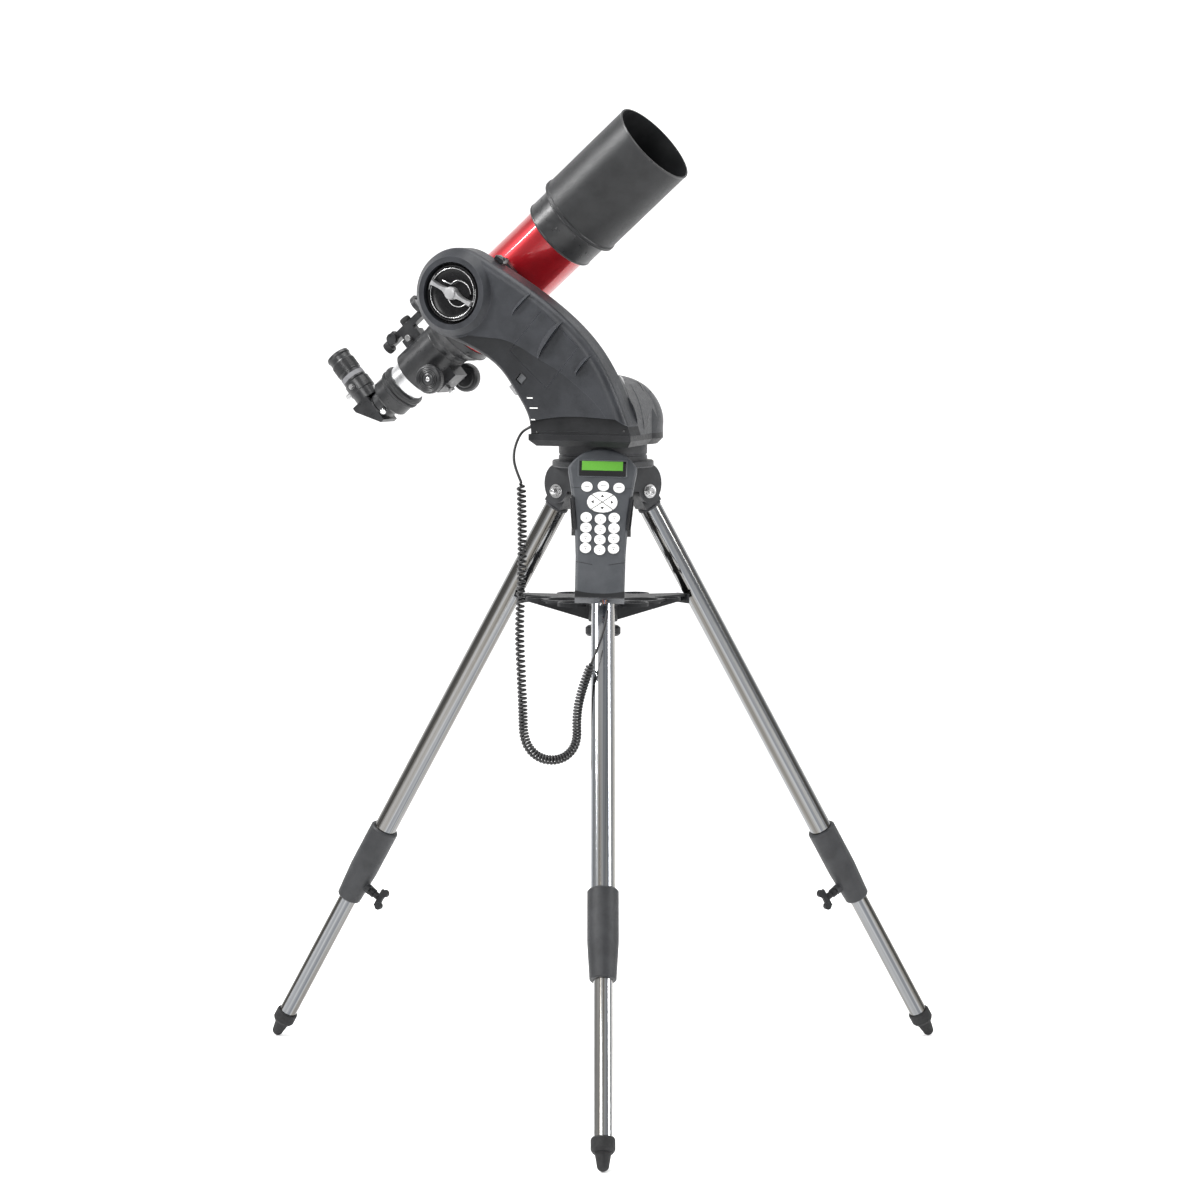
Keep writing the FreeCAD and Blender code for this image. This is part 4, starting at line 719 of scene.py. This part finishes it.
def clutch():
    dish = Build().lathe([
        (0, 128.7), (36.5, 128.7), (38.6, 129.6), (39.4, 131.2), (39.4, 135.2), (38.9, 136.8), (37.6, 137.6),
        (36.6, 137.2), (35.6, 135.2), (34.8, 133.6), (33.0, 132.4), (28, 131.4), (18, 130.6), (0, 130.4),
    ], KNOB, 96)
    dish = dish.done("clutch_dish", MAT["dish"], "clutch", "knob_gloss", 50)
    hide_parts("clutch_knob")
    grip = Build()
    lean, hub_radius = math.radians(-26.4), 8.8
    c, s = math.cos(lean), math.sin(lean)
    bar = [(-34, 3.4), (-28, 2.3), (-20, 1.9), (-13, 2.6), (-8.5, 5.0)]
    hub = [(hub_radius * math.cos(math.radians(t)), hub_radius * math.sin(math.radians(t)))
           for t in range(145, 34, -10)]
    top = bar + hub + [(-u, half) for u, half in reversed(bar)]
    outline = top + [(-u, -v) for u, v in top]
    grip.slab([(c * u - s * v, s * u + c * v) for u, v in outline], 130.0, 144.2, KNOB, 1.1)
    grip.lathe([(0, 144.0), (7.6, 144.0), (8.2, 144.4), (7.6, 145.4), (5.0, 146.1), (0, 146.4)], KNOB, 48)
    grip.done("clutch_grip", MAT["grip"], "clutch", "knob_gloss", 42, 0.3)
    trim = Build()
    trim.rod(arc(34.0, 150, -20, 137.3, 90), 0.62, KNOB)
    trim.rod(arc(33.6, -34, -196, 137.3, 90), 0.62, KNOB)
    trim.rod(arc(36.4, 8, -30, 137.4, 24), 0.7, KNOB)
    trim.rod(arc(36.2, 172, 138, 137.4, 20), 0.5, KNOB)
    trim.rod(smooth([(-16.2, 17.6, 134.6), (-9, 14.9, 136.2), (-1.5, 12.4, 136.8)]), 0.95, KNOB)
    trim.rod(smooth([(-1.5, 12.6, 136.6), (4, 16.4, 136.6), (10, 17.2, 136.4), (20.8, 12.6, 136.0),
                     (26, 5.5, 135.4), (27.6, -1.5, 134.6)]), 0.75, KNOB)
    trim.rod(smooth([(-6.4, -8.6, 136.4), (-1.5, -14.6, 136.4), (5, -17.6, 136.3), (13, -17.9, 136.0),
                     (21.4, -14.2, 135.6)]), 0.85, KNOB)
    trim.done("clutch_trim", MAT["steel"], "clutch", "knob_gloss")
    bowls = Build()
    upper = ((-1.5, 12.0), (5, 15.6), (10, 16.5), (20, 12.2), (25.4, 5.0), (26.8, -1.5), (24, -6.5),
             (14, -3.2), (7.5, 3.6), (1.5, 8.8))
    lower = ((-5.8, -9.0), (-1.3, -13.8), (5, -16.8), (13, -17.1), (20.4, -13.8), (12, -9.6), (3, -8.4))
    bowls.slab(smooth_outline(upper, 4), 130.6, 134.4, KNOB, 1.6)
    bowls.slab(smooth_outline(lower, 4), 130.6, 134.2, KNOB, 1.6)
    bowls.done("clutch_lands", MAT["dish"], "clutch", "knob_gloss", 42)


clutch()

# ---------------------------------------------------------------- arm details

ARM_FACE = 130.8
FASCIA_FACE = 124.0


def screw(build, x, y, z, place, radius=2.6, height=1.0):
    """Pan head with a dished middle."""
    at = place @ move(x, y, z)
    build.lathe([(0, 0), (radius, 0), (radius, height * 0.35), (radius * 0.8, height * 0.8),
                 (radius * 0.45, height), (radius * 0.2, height * 0.86), (0, height * 0.6)], at, 28)


def arm_details():
    seams = Build()
    seams.rod(smooth([(-46.5, 903.6, 124.2), (-24, 906, 124.3), (30, 906.2, 124.3), (84, 904.5, 124.2)]),
              0.35, FACE)
    seams.done("fascia_lip", MAT["fascia"], "head", "black_plastic")
    screws = Build()
    for x, y in ((-38.0, 904.6), (93.0, 908.6)):
        screw(screws, x, y, FASCIA_FACE, FACE, 1.9)
    screws.done("fascia_screws", MAT["gloss_black"], "head", "hardware_steel")
    ticks = Build()
    for x, y, wide in ((-45.4, 951.0, 4.5), (-39.4, 937.5, 6.2), (-40.6, 921.8, 3.2)):
        ticks.slab(rectangle(wide, 0.75, x, y), ARM_FACE - 0.4, ARM_FACE + 0.14, FACE, 0.1)
    ticks.done("arm_marks", MAT["key"], "head", "key_white")


arm_details()


def arm_ports():
    """Frame of the power switch, a socket in the arm's lower edge and a clip on its upper edge."""
    at = FACE @ move(-59, 977, ARM_FACE) @ turn("Z", -42)
    bezel = Build()
    for sign in (-1, 1):
        bezel.slab(rectangle(6.4, 0.7, 0, sign * 7.0, 0, 0.3), -0.6, 0.5, at, 0.25)
        bezel.slab(rectangle(0.6, 6.4, sign * 5.9, 0, 0, 0.3), -0.6, 0.5, at, 0.25)
    bezel.done("switch_bezel", MAT["fascia"], "head", "black_plastic")
    socket = Build()
    at = FACE @ move(-78.2, 961.5, 104) @ turn("Z", -50)
    socket.slab(rectangle(7.6, 3.0, 0, 0, 0, 0.8), 0, 12, at, 0.5)
    socket.slab(rectangle(5.6, 0.8, 0, -2.6, 0, 0.3), 2, 10, at, 0.3)
    socket.done("side_socket", MAT["grip"], "head", "black_plastic", 40, 0.2)
    clip = Build()
    at = FACE @ move(-107, 1137.6, 88) @ turn("Z", -30)
    clip.slab(rectangle(7.4, 3.6, 0, 0, 0, 1.4), 0, 16, at, 0.8)
    clip.slab(rectangle(2.4, 1.4, 5.4, 3.6, 0, 0.6), 3, 13, at, 0.5)
    clip.done("tube_stop", MAT["gloss_black"], "head", "black_plastic", 40, 0.2)


def front_line(name, points, lift, count=8):
    """A smooth line of (x, z) points, seen from the front, laid on a carried-over node."""
    node = NODES[name]
    corners = [node.matrix_world @ vertex.co for vertex in node.data.vertices]
    tree = BVHTree.FromPolygons(corners, [polygon.vertices for polygon in node.data.polygons])
    laid = []
    for p in smooth([(x, 0, z) for x, z in points], count):
        spot, normal = tree.ray_cast(Vector((p.x, -600, p.z)) / 1000, Vector((0, 1, 0)))[:2]
        if spot is not None:
            laid.append(spot * 1000 + normal * lift)
    return laid


def housing_details():
    """Dark beads of painted shade for three curved vent slits, and two long folds, on the rounded cover of
    the azimuth head.
    """
    bpy.context.view_layer.update()
    vent_shades = Build()
    # Dark beads of painted shade lie where the vent slits are.
    for points, widest in ((((44.0, 973.6), (50.5, 967.4), (55.8, 958.4)), 1.0),
                           (((55.0, 970.2), (61.4, 963.8), (65.9, 955.2)), 1.0),
                           (((22.4, 980.0), (26, 975.6), (29.4, 968.6)), 1.1)):
        line = front_line("base_housing", points, 0.05)
        if len(line) > 3:
            last = len(line) - 1
            radii = [0.2 + widest * math.sin(math.pi * k / last) for k in range(last + 1)]
            vent_shades.rod(line, radii, Matrix.Identity(4), 10, 0.5)
    vent_shades.done("housing_vent_shade", MAT["gloss_black"], "head", "black_plastic")
    folds = Build()
    for points in (((29.2, 968), (36.8, 946.9), (43, 925), (47.1, 908)),
                   ((37.6, 968), (46, 952), (50.5, 938.7), (54, 922), (55.5, 909))):
        line = front_line("base_housing", points, -0.15)
        if len(line) > 3:
            folds.rod(line, 0.75, Matrix.Identity(4), 10, 0.6)
    folds.done("housing_folds", MAT["plastic"], "head", "black_plastic")


housing_details()
arm_ports()

# ---------------------------------------------------------------- optical tube details


def ring_on_tube(build, x, radius, width, proud, segments=96):
    """Raised ring round the tube between x and x + width."""
    inner = radius - 0.4
    build.lathe([(inner, x), (radius + proud * 0.6, x), (radius + proud, x + width * 0.25),
                 (radius + proud, x + width * 0.75), (radius + proud * 0.6, x + width), (inner, x + width)],
                ALONG_TUBE, segments)


def tube_details():
    rings = Build()
    ring_on_tube(rings, 311.6, 62.0, 2.2, 0.35)
    ring_on_tube(rings, 158.4, 55.5, 2.4, 0.9)
    ring_on_tube(rings, 124.0, 55.5, 2.0, 0.6)
    ring_on_tube(rings, -84.5, 51.5, 1.8, 0.5)
    ring_on_tube(rings, -113.4, 35.5, 2.0, 0.5)
    rings.done("tube_rings", MAT["satin_black"], "tube", "satin_black")
    bolts = Build()
    for degrees in (24, 144, 264):
        at = TUBE @ turn("X", degrees) @ move(-80.5, 0, 51.4)
        screw(bolts, 0, 0, 0, at, 2.4, 1.3)
    for degrees in (40, 100, 160, 220, 280, 340):
        at = TUBE @ turn("X", degrees) @ move(146, 0, 55.4)
        screw(bolts, 0, 0, 0, at, 1.7, 0.7)
    bolts.done("tube_screws", MAT["satin_black"], "tube", "hardware_steel")


tube_details()


def thumbscrew(build, place, radius, length, shank):
    """Knurled thumbscrew whose shank ends at the frame's origin."""
    build.lathe([(0, 0), (shank, 0), (shank, length * 0.42), (radius * 0.8, length * 0.45),
                 (radius, length * 0.5), (radius, length * 0.94), (radius * 0.82, length), (0, length)],
                place, 48, radius * 0.035, 24)


def focuser_details():
    """Concentric ribs and a bright centre screw on both focus knobs, and a milled rim."""
    ribs, caps = Build(), Build()
    for side in (-1, 1):
        at = TUBE @ move(-140, 0, -38) @ turn("X", -90 * side)
        for radius in (17.6, 15.2, 12.8, 10.4):
            ribs.lathe([(radius - 0.8, 58.2), (radius - 0.6, 59.25), (radius, 59.5), (radius + 0.6, 59.25),
                        (radius + 0.8, 58.2)], at, 64)
        ribs.lathe([(19.6, 49.6), (20.25, 50.1), (20.25, 57.2), (19.6, 57.6)], at, 144, 0.28, 48)
        ribs.lathe([(0, 57.6), (8.4, 57.6), (8.2, 58.5), (6.6, 59.4), (5, 59.6), (0, 59.4)], at, 48)
        caps.lathe([(0, 59.2), (3.1, 59.2), (3.1, 60.0), (2.4, 60.5), (1.0, 60.6), (0, 60.2)], at, 32)
    ribs.done("focus_knob_ribs", MAT["satin_black"], "focus_shaft", "satin_black")
    caps.done("focus_knob_screws", MAT["steel"], "focus_shaft", "hardware_steel")
    holder = Build()
    for degrees in (0, 120):
        thumbscrew(holder, TUBE @ turn("X", degrees) @ move(-240, 0, 19.6), 4.2, 12, 1.6)
    holder.done("holder_thumbscrews", MAT["steel"], "focus_tube", "hardware_steel")
    grips = Build()
    for x in (-200.6, -203.4, -210.4):
        grips.lathe([(31.2, x - 0.9), (32.3, x - 0.7), (32.3, x + 0.7), (31.2, x + 0.9)],
                    ALONG_TUBE, 160, 0.3, 80)
    grips.done("holder_grip", MAT["satin_black"], "focus_tube", "satin_black")
    lock = Build()
    for axis, degrees in (("X", 90), ("Y", -90)):
        thumbscrew(lock, EYEPIECE @ move(0, 0, 45) @ turn(axis, degrees), 4.0, 27, 1.5)
    lock.done("diagonal_thumbscrews", MAT["steel"], "eye_end", "hardware_steel")
    tension = Build()
    thumbscrew(tension, TUBE @ move(-147, 0, -47.2) @ turn("X", 180), 5.0, 10, 2.0)
    tension.done("focuser_tension", MAT["steel"], "tube", "hardware_steel")
    cup = Build()
    for k in range(9):
        z = 71.8 + 1.75 * k
        cup.lathe([(17.2, z), (17.75, z + 0.25), (17.75, z + 0.95), (17.2, z + 1.2)], EYEPIECE, 72)
    cup.done("eyepiece_ribs", MAT["rubber"], "eye_end", "foot_rubber")
    glass = Build()
    glass.lathe([(0, 98.0), (6, 98.4), (9.6, 97.4), (10.2, 96.0)], EYEPIECE, 40)
    glass.done("eye_lens", MAT["lens"], "eye_end", "lens_glass")
    band = Build()
    band.lathe([(17.3, 58), (17.62, 58.2), (17.62, 64.8), (17.3, 65)], EYEPIECE, 72)
    band.done("eyepiece_band", MAT["mark"], "eye_end", "satin_black")


focuser_details()


def finder_details():
    glass = Build()
    glass.lathe([(0, -110.2), (8, -110.5), (11.6, -111.3), (11.6, -107.8), (8, -107.4), (0, -107.2)],
                FINDER, 48)
    glass.done("finder_lens", MAT["lens"], "tube", "lens_glass")
    knobs = Build()
    at_side = TUBE @ move(-168, -16.2, 58) @ turn("X", 90)
    knobs.lathe([(7.3, -8.6), (7.75, -8.0), (7.75, -1.4), (7.3, -0.8)], at_side, 96, 0.22, 32)
    at_top = TUBE @ move(-140, 0, 62.5)
    knobs.lathe([(7.3, 0.8), (7.75, 1.4), (7.75, 8.0), (7.3, 8.6)], at_top, 96, 0.22, 32)
    at_end = TUBE @ move(-189, 0, 56) @ turn("Y", 90)
    knobs.lathe([(8.3, 0.6), (8.75, 1.2), (8.75, 7.8), (8.3, 8.4)], at_end, 96, 0.22, 36)
    knobs.lathe([(0, -1.4), (3.2, -1.2), (4.2, 0.2), (0, 0.3)], at_end, 32)
    knobs.done("finder_knob_grips", MAT["rubber"], "tube", "foot_rubber")
    screws = Build()
    thumbscrew(screws, TUBE @ move(-145, -9, 40) @ turn("X", 90), 4.6, 12, 1.8)
    screws.done("finder_thumbscrew", MAT["steel"], "tube", "hardware_steel")
    bezel = Build()
    bezel.lathe([(15.0, -112.4), (15.7, -112.0), (15.7, -106.0), (15.0, -105.6)], FINDER, 72)
    bezel.done("finder_bezel", MAT["satin_black"], "tube", "satin_black")


finder_details()

# ---------------------------------------------------------------- hand controller

FACE_Y = 26.0
KEY_TOP = FACE_Y + 1.4
KEY_COLUMNS = (-20.5, -1.5, 17.0)
KEY_ROWS = (-100.7, -115.4, -130.0, -144.5)
FUNCTION_KEYS = ((-20.5, -57.0), (1.5, -55.5), (22.5, -57.6))
ARROWS = (0.5, -78.6)


def controller_details():
    screen = Build()
    screen.slab(rectangle(27.6, 6.6, -0.4, -26.2), FACE_Y - 0.3, FACE_Y - 0.02, KEYS, 0.1)
    screen.done("display", MAT["lcd"], "controller", "window_black")
    rim = Build()
    outer = rectangle(33.6, 12.9, 0, -30.2, 0, 1.4)
    inner = rectangle(31.2, 10.7, 0, -30.2, 0, 0.9)
    n = len(outer)
    crown = rectangle(33.0, 12.3, 0, -30.2, 0, 1.3), rectangle(32.4, 11.8, 0, -30.2, 0, 1.1)
    points = [(x, y, FACE_Y - 0.1) for x, y in outer]
    points += [(x, y, FACE_Y + 0.75) for edge in crown for x, y in edge]
    points += [(x, y, FACE_Y - 0.3) for x, y in inner]
    faces = []
    for level in range(3):
        for k in range(n):
            a, b = level * n, (level + 1) * n
            faces.append((a + k, a + (k + 1) % n, b + (k + 1) % n, b + k))
    rim.add(points, faces, KEYS)
    rim.done("display_bezel", MAT["pad"], "controller", "black_plastic", 30)
    marks = Build()
    for x, y in FUNCTION_KEYS:
        marks.slab(rectangle(3.4, 0.55, x, y + 0.2), KEY_TOP - 0.05, KEY_TOP + 0.06, KEYS, 0.02)
    for y in KEY_ROWS:
        for column, x in enumerate(KEY_COLUMNS):
            drop = 2.2 if column == 1 else 0
            for half_x, half_y, up in ((2.6, 0.42, 1.5), (0.9, 0.9, -1.4)):
                marks.slab(rectangle(half_x, half_y, x, y - drop + up), KEY_TOP - 0.05, KEY_TOP + 0.06,
                           KEYS, 0.02)
    marks.done("key_marks", MAT["mark"], "keys", "key_white")
    arrows = Build()
    for degrees, away in ((0, 13.0), (90, 8.8), (180, 13.0), (270, 8.8)):
        at = KEYS @ move(ARROWS[0], ARROWS[1], 0) @ turn("Z", degrees)
        arrows.slab([(away + 2.0, 0), (away - 1.6, 2.6), (away - 1.6, -2.6)],
                    KEY_TOP - 0.05, KEY_TOP + 0.08, at, 0.02)
    arrows.done("arrow_marks", MAT["gloss_black"], "arrows", "window_black")
    seams = Build()
    for sign in (-1, 1):
        seams.rod(smooth([(sign * 41.4, -57.6, FACE_Y - 0.12), (sign * 36, -58.2, FACE_Y),
                          (sign * 30.4, -58.2, FACE_Y)]), 0.28, KEYS)
        seams.rod(smooth([(sign * 33.4, -163.6, FACE_Y - 0.3), (sign * 24, -165.0, FACE_Y),
                          (sign * 11, -167.4, FACE_Y)]), 0.34, KEYS)
    seams.done("controller_seams", MAT["fascia"], "controller", "black_plastic")
    cap = Build()
    arch = smooth_outline(((-33.2, -204.6), (-16, -207.4), (0, -208.2), (16, -207.4), (33.2, -204.6)), 6)
    cap.slab([*arch, (33.2, -213.8), (-33.2, -213.8)], 10.0, FACE_Y + 0.5, KEYS, 0.5)
    cap.done("controller_foot", MAT["fascia"], "controller", "black_plastic", 30)
    clips = Build()
    for sign in (-1, 1):
        outline = [(sign * 41.2, -70.5), (sign * 38.6, -70.5), (sign * 33.4, -117), (sign * 36.4, -117)]
        clips.slab(outline, 22.0, 29.6, KEYS, 0.6)
    clips.done("holder_lips", MAT["fascia"], "tripod", "black_plastic", 30)


controller_details()


def plug_wires():
    """Coloured wires that show through the clear plug."""
    for k, (colour, x) in enumerate((("orange", 3.4), ("blue", 5.6), ("white", 7.8), ("orange", 9.8))):
        wires = Build()
        wires.rod(smooth([(x, -205.5, 16.4), (x, -211, 16.6), (6.6 + 0.3 * (x - 6.6), -217.6, 14.0)], 6),
                  0.55, KEYS, 8)
        wires.done(f"plug_wire_{k}", MAT["wire_" + colour], "controller", "plug_clear")


plug_wires()

# ---------------------------------------------------------------- tripod details


def tripod_details():
    """Threaded bolt ends, washers and dished bolt heads on the hub's cheeks."""
    for side, degrees in LEGS.items():
        bolt = Build()
        for direction, nut in ((1, 6.5), (-1, 5.5)):
            at = TRIPOD @ turn("Z", degrees) @ move(61, direction * 24.0, 819)
            at = at @ turn("X", -90 * direction)
            bolt.lathe([(7.0, 0.0), (9.6, 0.0), (9.8, 0.4), (9.6, 0.9), (7.0, 0.9)], at, 40)
            if direction == 1:
                thread = [(0, nut - 0.5)]
                for k in range(6):
                    thread += [(3.9, nut - 0.5 + 0.8 * k), (3.4, nut - 0.1 + 0.8 * k)]
                bolt.lathe([*thread, (3.3, nut + 4.6), (2.6, nut + 5.0), (0, nut + 5.0)], at, 28)
            else:
                bolt.lathe([(6.0, nut - 0.3), (6.2, nut + 0.5), (5.4, nut + 0.8), (2.8, nut + 0.35),
                            (0, nut + 0.2)], at, 36)
        bolt.done(f"pivot_bolt_{side}", MAT["steel"], "tripod", "hardware_steel")


tripod_details()

# ---------------------------------------------------------------- floor, light and camera


# The backdrop glows more towards its rear: from and to this Y, in metres, with these strengths.
GLOW_SPAN = (0.0, 3.5)
GLOW = (0.32, 0.62)
WORLD_STRENGTH = 0.36


def studio():
    """Floor that bends up into a backdrop, a white world and four soft lamps."""
    floor_mesh = bpy.data.meshes.new("floor")
    made = bmesh.new()
    near, far, high, wide, bend = -8.0, 9.0, 9.0, 14.0, 2.5
    profile = [(near, 0.0)]
    for k in range(25):
        angle = math.radians(90 * k / 24)
        profile.append((far - bend + bend * math.sin(angle), bend - bend * math.cos(angle)))
    profile.append((far, high))
    rows = [[made.verts.new((x, y, z - 0.0005)) for x in (-wide, wide)] for y, z in profile]
    for a, b in zip(rows, rows[1:]):
        made.faces.new((a[0], a[1], b[1], b[0]))
    made.to_mesh(floor_mesh)
    made.free()
    floor_mesh.shade_smooth()
    paper = Shade("backdrop", rough=0.9, specular=0.1)
    paper.colour(paper.noise(0.6, 2), (0.86, 0.86, 0.86), (0.88, 0.88, 0.88))
    paper.bsdf.inputs["Emission Color"].default_value = (1, 1, 1, 1)
    split = paper.node("ShaderNodeSeparateXYZ")
    paper.links.new(paper.place, split.inputs["Vector"])
    glow = paper.spread(split.outputs["Y"], *GLOW_SPAN, *GLOW)
    paper.links.new(glow, paper.bsdf.inputs["Emission Strength"])
    floor_mesh.materials.append(paper.mat)
    floor = bpy.data.objects.new("floor", floor_mesh)
    bpy.context.scene.collection.objects.link(floor)
    world = bpy.data.worlds.new("studio")
    world.use_nodes = True
    background = world.node_tree.nodes["Background"]
    background.inputs["Color"].default_value = (1, 1, 1, 1)
    background.inputs["Strength"].default_value = WORLD_STRENGTH
    bpy.context.scene.world = world
    for name, place, target, size, power in (
            ("front", (-1.7, -2.9, 2.2), (0, 0.1, 0.8), (1.0, 1.8), 52),
            ("left", (-2.4, -0.2, 2.9), (-0.1, 0.1, 0.95), (0.5, 1.5), 105),
            ("top", (0.3, 0.0, 3.4), (0, 0.1, 0.8), (2.2, 1.6), 50),
            ("right", (2.4, -0.5, 1.9), (0, 0.1, 0.8), (0.5, 2.2), 44)):
        light = bpy.data.lights.new(name, "AREA")
        light.shape = "RECTANGLE"
        light.size, light.size_y = size
        light.energy = power
        lamp = bpy.data.objects.new(name, light)
        bpy.context.scene.collection.objects.link(lamp)
        lamp.location = place
        direction = Vector(target) - Vector(place)
        lamp.rotation_euler = direction.to_track_quat("-Z", "Y").to_euler()


studio()


# Focal length and shift in pixels of the photo; distance and height in metres, tilt in radians.
IMAGE_WIDTH = 1200
FOCAL = 3624.3
SHIFT = -3.0
DISTANCE, HEIGHT, TILT = 5.0, 1.1002, 0.0861


def camera():
    """Camera at the photo's viewing angle."""
    data = bpy.data.cameras.new("camera")
    data.sensor_width = 36
    data.lens = 36 * FOCAL / IMAGE_WIDTH
    data.shift_x = SHIFT / IMAGE_WIDTH
    data.clip_end = 60
    made = bpy.data.objects.new("camera", data)
    bpy.context.scene.collection.objects.link(made)
    made.location = (0, AXIS_Y / 1000 - DISTANCE, HEIGHT)
    made.rotation_euler = (math.pi / 2 - TILT, 0, 0)
    bpy.context.scene.camera = made


camera()
bpy.context.scene.view_settings.view_transform = "Standard"
